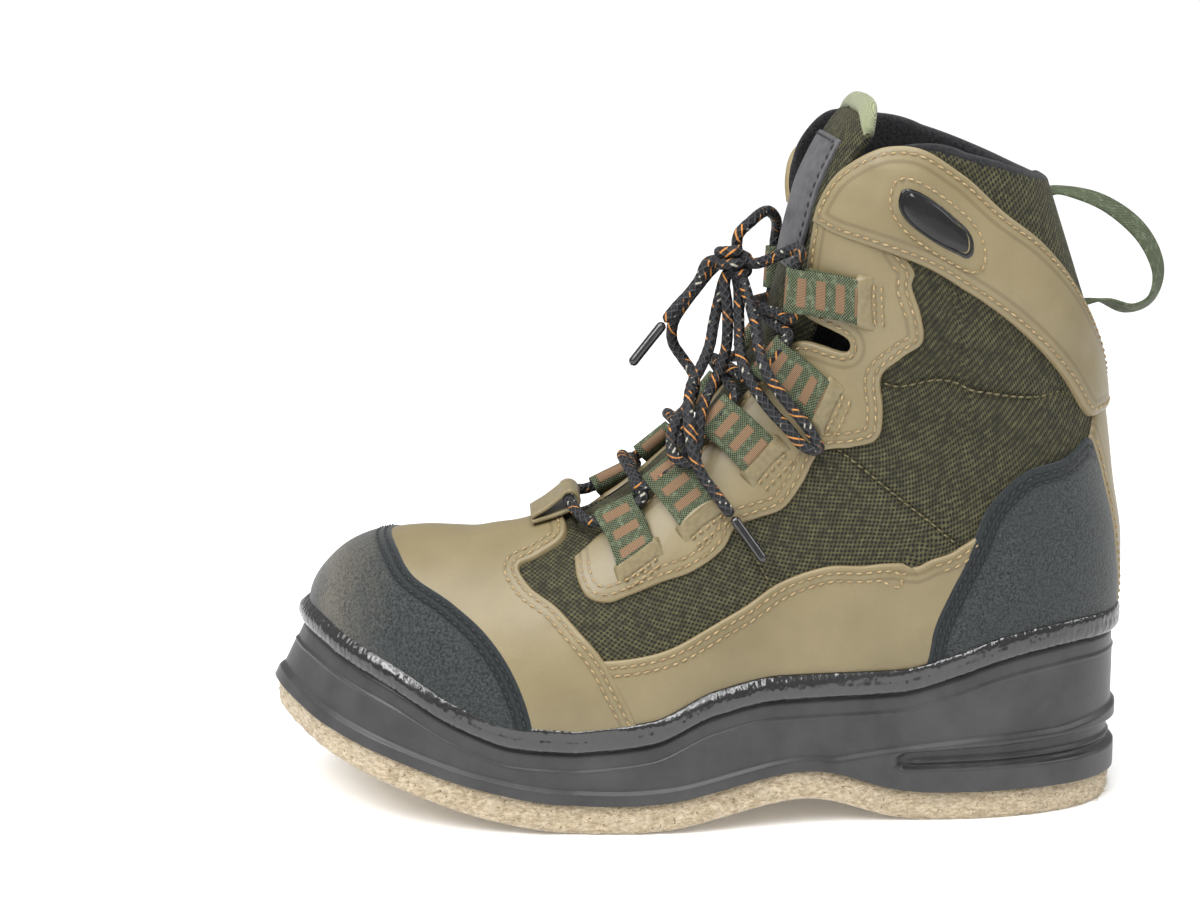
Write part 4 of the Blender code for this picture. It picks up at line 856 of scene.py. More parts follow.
def cloth_map(section, degrees):
    """Width and length over the last, in metres: along the sections' middles, and around them."""
    fine = np.linspace(0, TOP_SECTION, 400)
    middle = last_point(fine, np.full(400, 90.0))
    run = run_length(middle)
    u = np.interp(section, fine, run)
    d = np.linspace(0, 180, 61)
    s = np.linspace(0, TOP_SECTION, 85)
    around = last_point(s[:, None], d[None, :])
    arc = np.array([run_length(row) for row in around])
    arc -= arc[:, 30:31]
    deg = np.abs(wrapped(degrees))
    i = np.clip(section / TOP_SECTION * 84, 0, 83.999)
    j = np.clip(deg / 3.0, 0, 59.999)
    i0, j0 = i.astype(int), j.astype(int)
    fi, fj = i - i0, j - j0
    v = ((1 - fi) * ((1 - fj) * arc[i0, j0] + fj * arc[i0, j0 + 1])
         + fi * ((1 - fj) * arc[i0 + 1, j0] + fj * arc[i0 + 1, j0 + 1]))
    return np.stack((u, v), axis=1)


# Sheets and stitches in millimetres
EDGE_ROUND = 0.8
STITCH_TROUGH = 0.16
STITCH_PITCH = 3.4
STITCH_SLANT = 0.10
STITCH_SHARE = 0.80
UNSEWN = 99.0
STITCHES = []


def panel(name, lines, thick, mat, base=0.0, puff=0.25, stitched=(), threads=(2.4,), gold=True, sink=0.35,
          shape=None, more=()):
    """Sheet of leather or suede over the last with a rounded edge, and the stitches along its edges."""
    loop, tag = joined(lines)
    places, faces = filled(loop, 1.5, (0.14, 0.4, 0.85))
    p, normal, _, _ = surface(places[:, 0], places[:, 1])
    rim = wrapped_point(loop[:, 0], loop[:, 1])
    edge = distance_to(p, rim)
    edge[:len(loop)] = 0.0
    seam = distance_to(p, rim[np.isin(tag, stitched)]) if stitched else np.full(len(p), UNSEWN)
    share = np.clip(edge / EDGE_ROUND, 0, 1)
    height = base + thick * np.sqrt(np.clip(1 - (1 - share) ** 2, 0, 1)) + puff * (1 - np.exp(-edge / 6.0))
    height = np.where(edge < 0.02, base - sink, height)
    for distance in (threads if stitched else ()):
        height = height - STITCH_TROUGH * np.exp(-((seam - distance) / 0.55) ** 2)
    if shape is not None:
        height = height + shape(p, places)
    verts = p + normal * height[:, None] * MM
    flat = cloth_map(places[:, 0], places[:, 1])
    ob = add_piece(name, verts, facing(places, faces), mat, uv=flat, edge=edge, seam=seam)
    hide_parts(name)
    for numbers, distance in [(stitched, distance) for distance in threads] + list(more):
        moved, good = inset(loop, distance)
        good = good & np.isin(tag, numbers)
        rise = base + thick + puff * (1 - math.exp(-distance / 6.0)) - STITCH_TROUGH
        queue_stitches(moved, good, rise, gold, shape)


def queue_stitches(line, good, height, gold, shape=None):
    """Stitches along the good runs of a line of places, at a height above the last."""
    start = np.where(good & ~np.roll(good, 1))[0]
    if not len(start):
        start = [0] if good.all() else []
    for first in start:
        run = []
        k = first
        while good[k] and len(run) < len(line):
            run.append(k)
            k = (k + 1) % len(line)
        if len(run) < 4:
            continue
        places = line[run]
        p, normal, _, _ = surface(places[:, 0], places[:, 1])
        rise = np.full(len(p), height)
        if shape is not None:
            rise = rise + shape(p, places)
        lay_stitches(p + normal * rise[:, None] * MM, normal, gold)


def lay_stitches(p, normal, gold=True, pitch=STITCH_PITCH):
    """Queues slightly slanted stitches along a line of points."""
    length = run_length(p) * 1000
    count = int(length[-1] / pitch)
    if count < 1:
        return
    at = (np.arange(count) + 0.5) * length[-1] / count
    half = pitch * STITCH_SHARE / 2
    start, end = at_runs(at - half, length, p), at_runs(at + half, length, p)
    up = unit(at_runs(at, length, normal))
    slant = np.cross(up, unit(end - start)) * STITCH_SLANT * pitch * 0.5 * MM
    STITCHES.append((start - slant, end + slant, up, gold))


# Rings of a stitch: place along it, width as a share of the radius, and rise in millimetres
STITCH_RINGS = (
    (0.0, 0.10, -0.25), (0.16, 0.75, 0.12), (0.5, 1.0, 0.30), (0.84, 0.75, 0.12), (1.0, 0.10, -0.25),
)
STITCH_RADIUS = 0.44
STITCH_SIDES = 5


def build_stitches(mats):
    """All queued stitches as one mesh for each thread colour: short arched tubes."""
    for gold, mat, name in ((True, mats["gold"], "stitching_gold"), (False, mats["black"], "stitching_black"),
                            ("olive", mats["olive"], "stitching_olive")):
        verts, faces = [], []
        for start, end, up, is_gold in STITCHES:
            if is_gold != gold:
                continue
            along = unit(end - start)
            side = unit(np.cross(along, up))
            top = np.cross(side, along)
            for k in range(len(start)):
                first = len(verts)
                for share, wide, rise in STITCH_RINGS:
                    centre = start[k] + (end[k] - start[k]) * share + top[k] * rise * MM
                    for turn in range(STITCH_SIDES):
                        a = 2 * math.pi * turn / STITCH_SIDES
                        ray = side[k] * math.cos(a) + top[k] * math.sin(a)
                        verts.append(centre + ray * wide * STITCH_RADIUS * MM)
                for ring in range(len(STITCH_RINGS) - 1):
                    for turn in range(STITCH_SIDES):
                        a = first + ring * STITCH_SIDES + turn
                        b = first + ring * STITCH_SIDES + (turn + 1) % STITCH_SIDES
                        faces.append((a, b, b + STITCH_SIDES, a + STITCH_SIDES))
        if verts:
            ob = add_piece(name, verts, faces, mat)


def mirror(outline):
    """The same outline on the other side of the ridge."""
    return [(s, -d) for s, d in outline]


def shifted(line, sections=0.0, degrees=0.0):
    """A line moved a little along or around the last."""
    return [(s + sections, d + degrees) for s, d in line]


def crossing(degrees, height, low, high):
    """Section between two others whose point at these degrees lies a height above the feather line."""
    for _ in range(40):
        middle = (low + high) / 2
        p = last_point(middle, degrees)
        if p[2] > feather_level(p[1]) + height:
            high = middle
        else:
            low = middle
    return (low + high) / 2


PANEL_FOOT = BEAD_HEIGHT - 0.0028
TOE_CROSSING = crossing(0.0, PANEL_FOOT, 0.0, 3.0)
HEEL_CROSSING = crossing(180.0, PANEL_FOOT, HEEL_SECTION - 1.0, HEEL_SECTION + 2.0)


def bead_line(start, end, count=24):
    """Outline places behind the top of the bead between two sections, closer together at their ends."""
    share = (1 - np.cos(np.pi * np.linspace(0, 1, count))) / 2
    sections = start + (end - start) * share
    return [(float(s), float(d)) for s, d in zip(sections, level_degrees(sections, PANEL_FOOT))]


def line_points(line, step=1.0):
    """Points in space along a smooth line on the last."""
    at = smooth_line(line, step)
    return wrapped_point(at[:, 0], at[:, 1])


def trough(p, line, width, depth):
    """Height of a soft trough (or, with a negative depth, a ridge) along a line, in millimetres."""
    return -depth * np.exp(-(distance_to(p, line_points(line)) / width) ** 2)


# Creases and joins of the mesh as places on the last, with width and depth in millimetres
MESH_JOINS = (
    (((14.15, 62), (14.2, 70), (15.4, 90), (16.7, 128)), 0.9, 1.1),
    (((12.5, 58), (12.7, 70), (12.9, 83), (13.1, 93)), 0.9, 1.0),
    (((10.7, 56), (10.75, 66), (10.8, 78)), 0.9, 0.8),
)
MESH_CREASES = (
    (((13.6, 72), (14.2, 84), (14.8, 97)), 4.5, 0.9),
    (((14.9, 78), (15.7, 96), (16.2, 112)), 4.0, 0.6),
    (((11.4, 66), (11.9, 74), (12.3, 85)), 3.5, 0.6),
    (((16.0, 84), (16.5, 100), (16.7, 118)), 3.0, -0.5),
    (((9.2, 58), (9.5, 66), (9.6, 75)), 3.0, 0.6),
)
COLLAR_CREASES = (
    (((17.0, 40), (17.5, 60), (17.8, 76)), 3.5, 0.5),
    (((17.3, 96), (17.5, 118), (17.4, 140)), 4.0, 0.6),
    (((18.5, 60), (18.8, 80), (18.7, 104)), 3.0, -0.4),
)
TONGUE_FOLDS = (
    (((10.5, 0), (10.6, 20)), 5.0, 0.8),
    (((12.6, 0), (12.7, 26)), 6.0, 0.8),
    (((15.2, 0), (15.4, 26)), 6.0, 1.2),
    (((17.0, 0), (17.1, 30)), 5.0, 0.5),
)
VAMP_CREASES = (
    (((6.9, 12), (7.2, 30), (7.7, 45), (8.0, 58)), 4.0, 0.5),
    (((6.0, 0), (6.2, 25), (6.7, 45)), 4.5, 0.35),
    (((7.6, 58), (8.1, 72), (8.3, 84)), 3.0, 0.4),
)


def relief(creases, also_mirrored=True):
    """Shape function that adds listed creases to a piece."""
    def shape(p, places):
        height = np.zeros(len(p))
        for line, width, depth in creases:
            height += trough(p, list(line), width, depth)
            if also_mirrored:
                height += trough(p, mirror(list(line)), width, depth)
        return height
    return shape


NEAR_CELLS = list(product((-1, 0, 1), repeat=3))


def weld(verts, faces, reach=2e-5):
    """Joins points that lie together, keeping the first of them."""
    key = {}
    target = np.arange(len(verts))
    cell = np.round(verts / reach).astype(np.int64)
    for k, c in enumerate(map(tuple, cell)):
        around = ((c[0] + dx, c[1] + dy, c[2] + dz) for dx, dy, dz in NEAR_CELLS)
        found = next((key[near] for near in around if near in key), None)
        if found is None:
            key[c] = k
        else:
            target[k] = found
    faces = target[faces]
    good = (faces[:, 0] != faces[:, 1]) & (faces[:, 1] != faces[:, 2]) & (faces[:, 0] != faces[:, 2])
    return faces, good


def facing(places, faces):
    """Triangles turned so that the last's outside is their front."""
    a, b, c = (places[faces[:, k]] for k in range(3))
    area = (b[:, 0] - a[:, 0]) * (c[:, 1] - a[:, 1]) - (b[:, 1] - a[:, 1]) * (c[:, 0] - a[:, 0])
    return np.where((area > 0)[:, None], faces[:, ::-1], faces)


def two_skins(name, nodes, parts, top, thick, mats, choose, step, rings, shape=None, joins=((), ())):
    """Soft wall over the last with rounded rims: parts are loops of lines and the numbers of their seams."""
    loops = [(joined(lines), seams) for lines, seams in parts]
    rim = []
    for (loop, tag), seams in loops:
        open_ = ~np.isin(tag, seams)
        rim.append(wrapped_point(loop[open_, 0], loop[open_, 1]))
    rim = np.concatenate(rim)
    verts, faces, uv, edge, index = [], [], [], [], []
    total = 0
    for ((loop, tag), seams), lines in zip(loops, joins):
        at, tris = filled(loop, step, rings, lines)
        p, normal, _, _ = surface(at[:, 0], at[:, 1])
        e = distance_to(p, rim)
        wall_ = thick(p, at)
        radius = wall_ / 2
        share = np.clip(e / radius, 0, 1)
        bend = radius * (1 - np.sqrt(np.clip(1 - (1 - share) ** 2, 0, 1)))
        outer = top(p, at) - bend
        inner = top(p, at) - wall_ + bend
        if shape is not None:
            outer = outer + shape(p, at) * np.clip(e / 3.0, 0, 1)
        tris = facing(at, tris)
        low = total + len(at)
        verts += [p + normal * outer[:, None] * MM, p + normal * inner[:, None] * MM]
        faces += [tris + total, tris[:, ::-1] + low]
        middle = at[tris].mean(axis=1)
        reach = e[tris].mean(axis=1)
        index += [choose(middle, True, reach), choose(middle, False, reach)]
        flat = cloth_map(at[:, 0], at[:, 1])
        uv += [flat, flat]
        edge += [e, e]
        total += 2 * len(at)
    verts, faces = np.concatenate(verts), np.concatenate(faces)
    index = np.concatenate(index)
    faces, good = weld(verts, faces)
    used, back = np.unique(faces[good], return_inverse=True)
    ob = add_piece(name, verts[used], back.reshape(-1, 3), mats, index[good], np.concatenate(uv)[used],
                   np.concatenate(edge)[used])
    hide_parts(*nodes)
    return ob


def collar_pad(places):
    """Share of the collar's padding at places on the last."""
    return ramp((places[:, 0] - 15.0) / 3.0) * ramp((np.abs(places[:, 1]) - 50.0) / 35.0)


def build_upper(mats):
    foot_sections = 14 * (1 - (1 - np.linspace(0.003, 1, 60)) ** 1.6)
    foot = [(float(s), float(d)) for s, d in zip(foot_sections, feather_degrees(foot_sections))]
    parts = []
    for turn, topline in ((list, TOPLINE_LATERAL), (mirror, TOPLINE_MEDIAL)):
        lines = [foot, [foot[-1], (20.7, 180.0)], topline[::-1], [topline[0], THROAT_EDGE[-1]],
                 THROAT_EDGE[::-1], [THROAT_EDGE[0], (foot[0][0], 0.0)], [(foot[0][0], 0.0), foot[0]]]
        lines = [smooth_line(turn(list(line)), 1.2) for line in lines]
        parts.append((lines, (1, 5, 6)))

    def thick(p, at):
        return (UPPER_WALL + (COLLAR_WALL - UPPER_WALL) * collar_pad(at)) / MM

    def top(p, at):
        return 0.8 * collar_pad(at) - 0.15 + flare(at)

    def choose(at, outside, e):
        rolled = (e < 3.2) & (at[:, 0] > 15.9)
        return np.where(rolled, 1, 0) if outside else np.ones(len(at), dtype=int)

    joins = [list(line) for line, _, _ in MESH_JOINS]
    ob = two_skins("upper", ("upper_forefoot", "upper_quarters"), parts, top, thick,
                   (mats["mesh"], mats["fleece"]), choose, 1.9, (0.35, 0.9, 1.7, 2.7),
                   relief(MESH_JOINS + MESH_CREASES), (joins, [mirror(line) for line in joins]))
    for line in joins:
        for turn in (list, mirror):
            at = smooth_line(turn(line), 1.0)
            p, normal, _, _ = surface(at[:, 0], at[:, 1])
            lay_stitches(p - normal * 0.35 * MM, normal, "olive", 2.9)


def turned(lines, turn):
    return [smooth_line(turn(list(line))) for line in lines]


def build_panels(mats):
    tan, grey = mats["leather"], mats["suede"]
    # Mudguards, under the vamp in front and the counter behind
    vamp_side = shifted(VAMP_EDGE[4:], -0.22)
    counter_side = [p for p in COUNTER_EDGE if 12.0 < p[0] < 13.5]
    counter_under = shifted(counter_side, 0.1, 4.0)
    guard_foot = bead_line(VAMP_FOOT - 0.22, COUNTER_FOOT + 0.3)
    for side, turn in (("lateral", list), ("medial", mirror)):
        lines = [[vamp_side[0]] + MUDGUARD_TOP + [counter_under[0]], counter_under + [guard_foot[-1]],
                 guard_foot[::-1], [guard_foot[0]] + vamp_side[::-1]]
        panel("mudguard_" + side, turned(lines, turn), 1.2, tan, stitched=(0,), threads=TAN_ROWS)
    # Counters
    heel_foot = [p for p in bead_line(COUNTER_FOOT, HEEL_CROSSING) if p[1] < BACKSTAY_FOOT + 5]
    under_stay = shifted(BACKSTAY_EDGE, 0, 4.0)
    for side, turn in (("lateral", list), ("medial", mirror)):
        lines = [[under_stay[0]] + COUNTER_EDGE + [heel_foot[0]], heel_foot,
                 [heel_foot[-1]] + under_stay[::-1]]
        panel("counter_" + side, turned(lines, turn), 1.6, grey, stitched=(0,), threads=GREY_ROWS, gold=False)
    # Eyestays
    stay_top = shifted([p for p in PATCH_FOOT if p[1] < 80], 0.18)
    for side, turn in (("lateral", list), ("medial", mirror)):
        lines = [EYESTAY_REAR + [stay_top[-1]], stay_top[::-1], [stay_top[0]] + THROAT_EDGE[3:-1][::-1],
                 [THROAT_EDGE[3], EYESTAY_REAR[0]]]
        panel("eyestay_" + side, turned(lines, turn), 1.4, tan, stitched=(0, 2),
              more=[((0,), 5.2)])
    # Vamp
    front = shifted(TOE_CAP_EDGE, -0.25)
    vamp_foot = bead_line(TOE_CAP_FOOT - 0.25, VAMP_FOOT, 12)
    edge = STRAP_EDGE + VAMP_EDGE[1:] + [vamp_foot[-1]]
    lines = [mirror(edge[1:])[::-1] + edge, vamp_foot[::-1],
             [vamp_foot[0]] + front[::-1] + mirror(front[1:]) + mirror(vamp_foot[:1]), mirror(vamp_foot)]
    panel("vamp", [smooth_line(line) for line in lines], 1.9, tan, stitched=(0,), threads=TAN_ROWS,
          shape=relief(VAMP_CREASES))
    # Toe cap
    cap = bead_line(TOE_CROSSING, TOE_CAP_FOOT)
    lines = [mirror(cap[1:])[::-1] + cap,
             [cap[-1]] + TOE_CAP_EDGE[::-1] + mirror(TOE_CAP_EDGE[1:]) + mirror(cap[-1:])]
    panel("toe_cap", [smooth_line(line) for line in lines], 2.4, grey, stitched=(1,), threads=GREY_ROWS,
          gold=False, puff=0.5)
    # Backstay and collar patch run across the back, so their places go on past 180 degrees
    strip = BACKSTAY_EDGE + [p for p in bead_line(13.9, HEEL_CROSSING) if p[1] > BACKSTAY_FOOT + 1.0][:1]
    top_line = [(p[0] + 0.2, p[1]) for p in PATCH_FOOT if p[1] > 142]
    round_back = [(s, 360 - d) for s, d in strip]
    low_line = [strip[-1], (HEEL_CROSSING, 180.0), round_back[-1]]
    up_line = [strip[0]] + top_line + [(s, 360 - d) for s, d in top_line[-2::-1]] + [round_back[0]]
    lines = [strip, low_line, round_back[::-1], up_line[::-1]]
    panel("backstay", [smooth_line(line) for line in lines], 1.9, tan, stitched=(0, 2))
    top_edge = PATCH_TOP + [(s, 360 - d) for s, d in PATCH_TOP[-2::-1]]
    foot_edge = PATCH_FOOT + [(s, 360 - d) for s, d in PATCH_FOOT[-2::-1]]
    panel("collar_patch", [smooth_line(top_edge), smooth_line(foot_edge[::-1])], 2.0, tan, stitched=(0, 1),
          puff=0.6, shape=patch_shape)


def flare(at):
    """How far the inner side's collar flap opens outward near the throat, in millimetres."""
    degrees = wrapped(at[:, 1])
    return np.where(degrees < 0, 9.0, 1.2) * ramp((at[:, 0] - 15.6) / 2.4) * ramp((72.0 + degrees) / 34.0)


def patch_shape(p, places):
    """Collar padding below the patch, its creases and the rings around the inserts."""
    degrees = wrapped(places[:, 1])
    pad = 0.9 * collar_pad(np.stack((places[:, 0], degrees), axis=1))
    height = pad + flare(places) + relief(COLLAR_CREASES)(p, places)
    for sign in (-1, 1):
        ring = insert_ring(1.0, sign)
        d = distance_to(p, ring)
        height = height - 0.5 * np.exp(-((d - 1.0) / 0.9) ** 2)
    return height


def stadium(a, reach, wide=None):
    """Places around the insert: an oval with long flat sides."""
    c, s = np.cos(a), np.sin(a)
    section = INSERT_CENTRE[0] + (wide or reach) * INSERT_REACH[0] * np.sign(s) * np.abs(s) ** 0.74
    return section, INSERT_CENTRE[1] + reach * INSERT_REACH[1] * np.sign(c) * np.abs(c) ** 0.90


def insert_ring(reach, sign, count=90):
    s, d = stadium(np.linspace(0, 2 * math.pi, count, endpoint=False), reach)
    return wrapped_point(s, sign * d)


def build_inserts(mats):
    for side, sign in (("lateral", 1), ("medial", -1)):
        a = np.linspace(0, 2 * math.pi, 90, endpoint=False)
        seat = 0.9 * float(collar_pad(np.array([INSERT_CENTRE]))[0])
        rings = [(0.0, 1.9), (0.35, 1.85), (0.62, 1.7), (0.78, 1.5), (0.84, 1.0), (0.88, 1.35), (0.96, 1.2),
                 (1.0, 0.2), (1.0, -0.8)]
        verts, faces = [], []
        for reach, rise in rings:
            s, d = stadium(a, reach * 0.86)
            d = sign * d
            p, normal, _, _ = surface(s, d)
            verts += list(p + normal * (2.6 + rise + seat) * MM)
        n = len(a)
        for r in range(len(rings) - 1):
            for k in range(n):
                m = (k + 1) % n
                quad = (r * n + k, (r + 1) * n + k, (r + 1) * n + m, r * n + m)
                faces.append(quad if sign < 0 else quad[::-1])
        ob = add_piece("ankle_insert_" + side, verts, faces, mats["gloss"], edge=np.zeros(len(verts)))
        dress(ob, "insert_rubber", "ankle_insert_" + side)
        s, d = stadium(a, 1.12, 1.26)
        d = sign * d
        p, normal, _, _ = surface(s, d)
        rise = 2.62 + patch_shape(p, np.stack((s, d), axis=1))
        p = p + normal * rise[:, None] * MM
        lay_stitches(np.concatenate((p, p[:1])), np.concatenate((normal, normal[:1])), True, 3.0)


def build_tongue(mats):
    high = -(UPPER_WALL + 1.5 * FIT) / MM
    thick = TONGUE_THICKNESS / MM
    end = (19.6, 0.0)
    side = [place for place in TONGUE_EDGE if place[0] < 18.5] + [(19.0, 42), (19.25, 37)]
    lines = [side, [side[-1], (19.5, 24), end], [end, side[0]]]
    parts = [([smooth_line(turn(list(line)), 1.3) for line in lines], (2,)) for turn in (list, mirror)]
    ob = two_skins("tongue", ("tongue",), parts, lambda p, at: np.full(len(p), high),
                   lambda p, at: np.full(len(p), thick), (mats["mesh"], mats["fleece"]),
                   lambda at, outside, e: np.zeros(len(at), int) if outside else np.ones(len(at), int),
                   2.2, (0.4, 1.1, 2.0), relief(TONGUE_FOLDS))
    upper_edge = [(19.3, 39), (19.7, 30), (20.1, 15), (20.2, 0)]
    lower_edge = [(18.8, 41), (19.15, 30), (19.5, 15), (19.55, 0)]
    lines = [smooth_line(mirror(upper_edge) + upper_edge[-2::-1]), smooth_line([upper_edge[0], lower_edge[0]]),
             smooth_line(lower_edge + mirror(lower_edge)[-2::-1]),
             smooth_line([mirror(lower_edge)[0], mirror(upper_edge)[0]])]
    parts = [(lines, ())]
    ob = two_skins("tongue_binding", ("tongue_binding",), parts, lambda p, at: np.full(len(p), high + 0.9),
                   lambda p, at: np.full(len(p), thick + 1.8), (mats["tape"],),
                   lambda at, outside, e: np.zeros(len(at), int), 1.2, (0.3, 0.9, 1.8))
    side = [(14.4, -22), (18.5, -22)]
    lines = [smooth_line(side), smooth_line([(18.5, -22), (18.5, 22)]), smooth_line([(18.5, 22), (14.4, 22)]),
             smooth_line([(14.4, 22), (14.4, -22)])]
    panel("tongue_patch", lines, 1.2, mats["patch"], base=high, puff=0.3, stitched=(0, 1, 2, 3), threads=(1.8,),
          gold=False, sink=0.3)


# Sole
LEDGE_MARGIN = 0.0024
SOLE_MARGIN = 0.0010
TOE_FLARE = 0.0115
HEEL_FLARE = 0.0030
RECESS_WALL = 0.0008
RING_ROWS = 170


def fine_ring():
    """The upper's foot as a fine ring from the toe around the lateral side, and its outward plan normals."""
    s = np.linspace(0, HEEL_SECTION, 900)
    p = last_point(s, feather_degrees(s))
    run = run_length(p)
    rows = np.interp(np.linspace(0, run[-1], RING_ROWS + 1), run, s)
    around = feather_degrees(rows)
    ring = np.concatenate((last_point(rows, around), last_point(rows[1:-1], -around[1:-1])[::-1]))
    along = np.roll(ring, -1, axis=0) - np.roll(ring, 1, axis=0)
    for _ in range(6):
        along = (np.roll(along, 1, axis=0) + 2 * along + np.roll(along, -1, axis=0)) / 4
    out = unit(np.stack((-along[:, 1], along[:, 0]), axis=1))
    return ring, (out if out[RING_ROWS // 2, 0] > 0 else -out)


RING, RING_OUT = fine_ring()


def ring_at(distance, level):
    """A ring at a distance outward from the upper's foot, at levels."""
    plan = RING[:, :2] + RING_OUT * np.reshape(distance, (-1, 1))
    return np.column_stack((plan, np.broadcast_to(level, len(RING))))


def eased(levels, passes=60):
    """Levels around the ring with the corners of the sole's table rounded off."""
    levels = np.array(levels, float)
    for _ in range(passes):
        levels = (np.roll(levels, 1) + 2 * levels + np.roll(levels, -1)) / 4
    return levels


def sole_edge():
    flare = TOE_FLARE * np.clip(-RING_OUT[:, 1], 0, 1) ** 2 + HEEL_FLARE * np.clip(RING_OUT[:, 1], 0, 1) ** 2
    return SOLE_MARGIN + flare


def side_ring(share, out):
    """A ring on the midsole's side, from the felt (0) to the ledge (1)."""
    low = ring_at(sole_edge(), 0.0)
    low[:, 2] = eased(felt_top(low[:, 1])) + FIT
    high = ring_at(LEDGE_MARGIN, RING[:, 2] - FIT)
    share, out = np.reshape(share, (-1, 1)), np.reshape(out, (-1, 1))
    ring = low + (high - low) * share
    ring[:, :2] += RING_OUT * out
    return ring


def stacked(rings, name, mat, slot, closed_tube=False):
    """Solid from rings stacked bottom to top on the outside, or around a tube's section."""
    n = len(RING)
    verts = np.concatenate(rings)
    faces = []
    count = len(rings)
    for low in range(count if closed_tube else count - 1):
        high = (low + 1) % count
        for k in range(n):
            m = (k + 1) % n
            faces.append((low * n + k, low * n + m, high * n + m, high * n + k))
    if not closed_tube:
        for start, flip in ((0, True), ((count - 1) * n, False)):
            for k in range(RING_ROWS):
                quad = [start + k, start + k + 1, start + (n - k - 1) % n, start + (n - k) % n]
                quad = list(dict.fromkeys(quad))
                faces.append(quad[::-1] if flip else quad)
    ob = add_piece(name, verts, faces, mat)
    fix_normals(ob)
    dress(ob, slot, name)


def fix_normals(ob):
    shape = bmesh.new()
    shape.from_mesh(ob.data)
    bmesh.ops.recalc_face_normals(shape, faces=shape.faces[:])
    shape.to_mesh(ob.data)
    shape.free()


def contour_offset(height):
    """Distance outward from the upper's foot to its surface at a height above the feather line."""
    toe = crossing(0.0, height, 0.0, 3.0)
    heel = crossing(180.0, height, HEEL_SECTION - 1.0, HEEL_SECTION + 2.0)
    share = (1 - np.cos(np.pi * np.linspace(0, 1, 400))) / 2
    sections = toe + (heel - toe) * share
    around = level_degrees(sections, height)
    plan = np.concatenate((last_point(sections, around), last_point(sections, -around)[::-1]))[:, :2]
    apart = plan[None, :, :] - RING[:, None, :2]
    nearest = np.linalg.norm(apart, axis=2).argmin(axis=1)
    gap = apart[np.arange(len(RING)), nearest]
    offset = np.sum(gap * RING_OUT, axis=1)
    for _ in range(4):
        offset = (np.roll(offset, 1) + 2 * offset + np.roll(offset, -1)) / 4
    return offset


SIDE_RINGS = 84
# The heel block's upper edge and the slot's middle and half height, as places along and heights in metres
BLOCK_LINE = (
    (-0.125, 0.0215), (-0.095, 0.0225), (-0.060, 0.0270), (-0.020, 0.0310), (0.012, 0.0325), (0.045, 0.0380),
)
SLOT_FRONT = -0.046
SLOT_LEVEL = ((-0.046, 0.0235), (0.045, 0.0262))
SLOT_HALF = ((-0.046, 0.0032), (0.045, 0.0050))


def side_out(y, z, low, high):
    """How far the midsole's side stands out, in metres: lip, heel block with its slot, ridge, groove."""
    line = np.interp(y, *zip(*BLOCK_LINE))
    out = 0.3 + 1.5 * (1 - ramp((z - low - 3.8 * MM) / (1.7 * MM)))
    block = ramp((y + 0.112) / 0.030) * (1 - ramp((z - line + 0.9 * MM) / (1.8 * MM)))
    out = np.maximum(out, 0.3 + 1.7 * block)
    level, half = np.interp(y, *zip(*SLOT_LEVEL)), np.interp(y, *zip(*SLOT_HALF))
    beyond = np.clip(SLOT_FRONT - y, 0, None)
    from_slot = np.sqrt((z - level) ** 2 + beyond ** 2)
    slot = 1 - ramp((from_slot - half + 0.9 * MM) / (1.5 * MM))
    out = out - 3.2 * slot
    rib = np.exp(-((z - level + 0.38 * half) / (0.9 * MM)) ** 2)
    rib = rib * (1 - ramp((SLOT_FRONT + 0.004 - y) / 0.003))
    out = out + 1.3 * rib * slot
    under = high - z
    out = out + 0.38 * np.exp(-((under - 7.0 * MM) / (0.45 * MM)) ** 2)
    out = out - 0.35 * (1 - ramp((under - 6.2 * MM) / (0.8 * MM)))
    out = out - 0.9 * np.exp(-(under / (1.0 * MM)) ** 2)
    return out * MM


# The felt's side from below: share of its thickness, and how far out in millimetres
FELT_SIDE = (
    (0.0, -3.2), (0.0, -1.0), (0.05, -0.35), (0.16, 0.05), (0.28, 0.15), (0.40, 0.1), (0.52, 0.15),
    (0.64, 0.1), (0.76, 0.0), (0.88, -0.1), (0.97, -0.35), (1.0, -1.0), (1.0, -3.0),
)
HAIRS = 3000


def build_sole(mats):
    rng = np.random.default_rng(7)
    edge = sole_edge()
    n = len(RING)
    ground = eased(ground_level(ring_at(edge, 0.0)[:, 1]))
    ground -= ground.min()
    top = eased(felt_top(ring_at(edge, 0.0)[:, 1]))
    rings = []
    for share, out in FELT_SIDE:
        rough = rng.normal(0, 0.26, n) if 0.02 < share < 0.99 else 0.0
        ring = ring_at(edge + (out + rough) * MM, 0.0)
        ring[:, 2] = ground + (top - ground) * share
        rings.append(ring)
    stacked(rings, "felt_outsole", mats["felt"], "beige_felt")
    build_hairs(mats, edge, ground, top, rng)
    low, high = side_ring(0.0, 0.0), side_ring(1.0, 0.0)
    rings = []
    for share in np.linspace(0, 1, SIDE_RINGS):
        plain_ring = side_ring(share, 0.0)
        rings.append(side_ring(share, side_out(plain_ring[:, 1], plain_ring[:, 2], low[:, 2], high[:, 2])))
    inner = -(UPPER_WALL + RECESS_WALL)
    rings.append(ring_at(inner, RING[:, 2] - FIT))
    rings.append(ring_at(inner, bed_level(RING[:, 1])))
    stacked(rings, "midsole", mats["rubber"], "black_rubber")


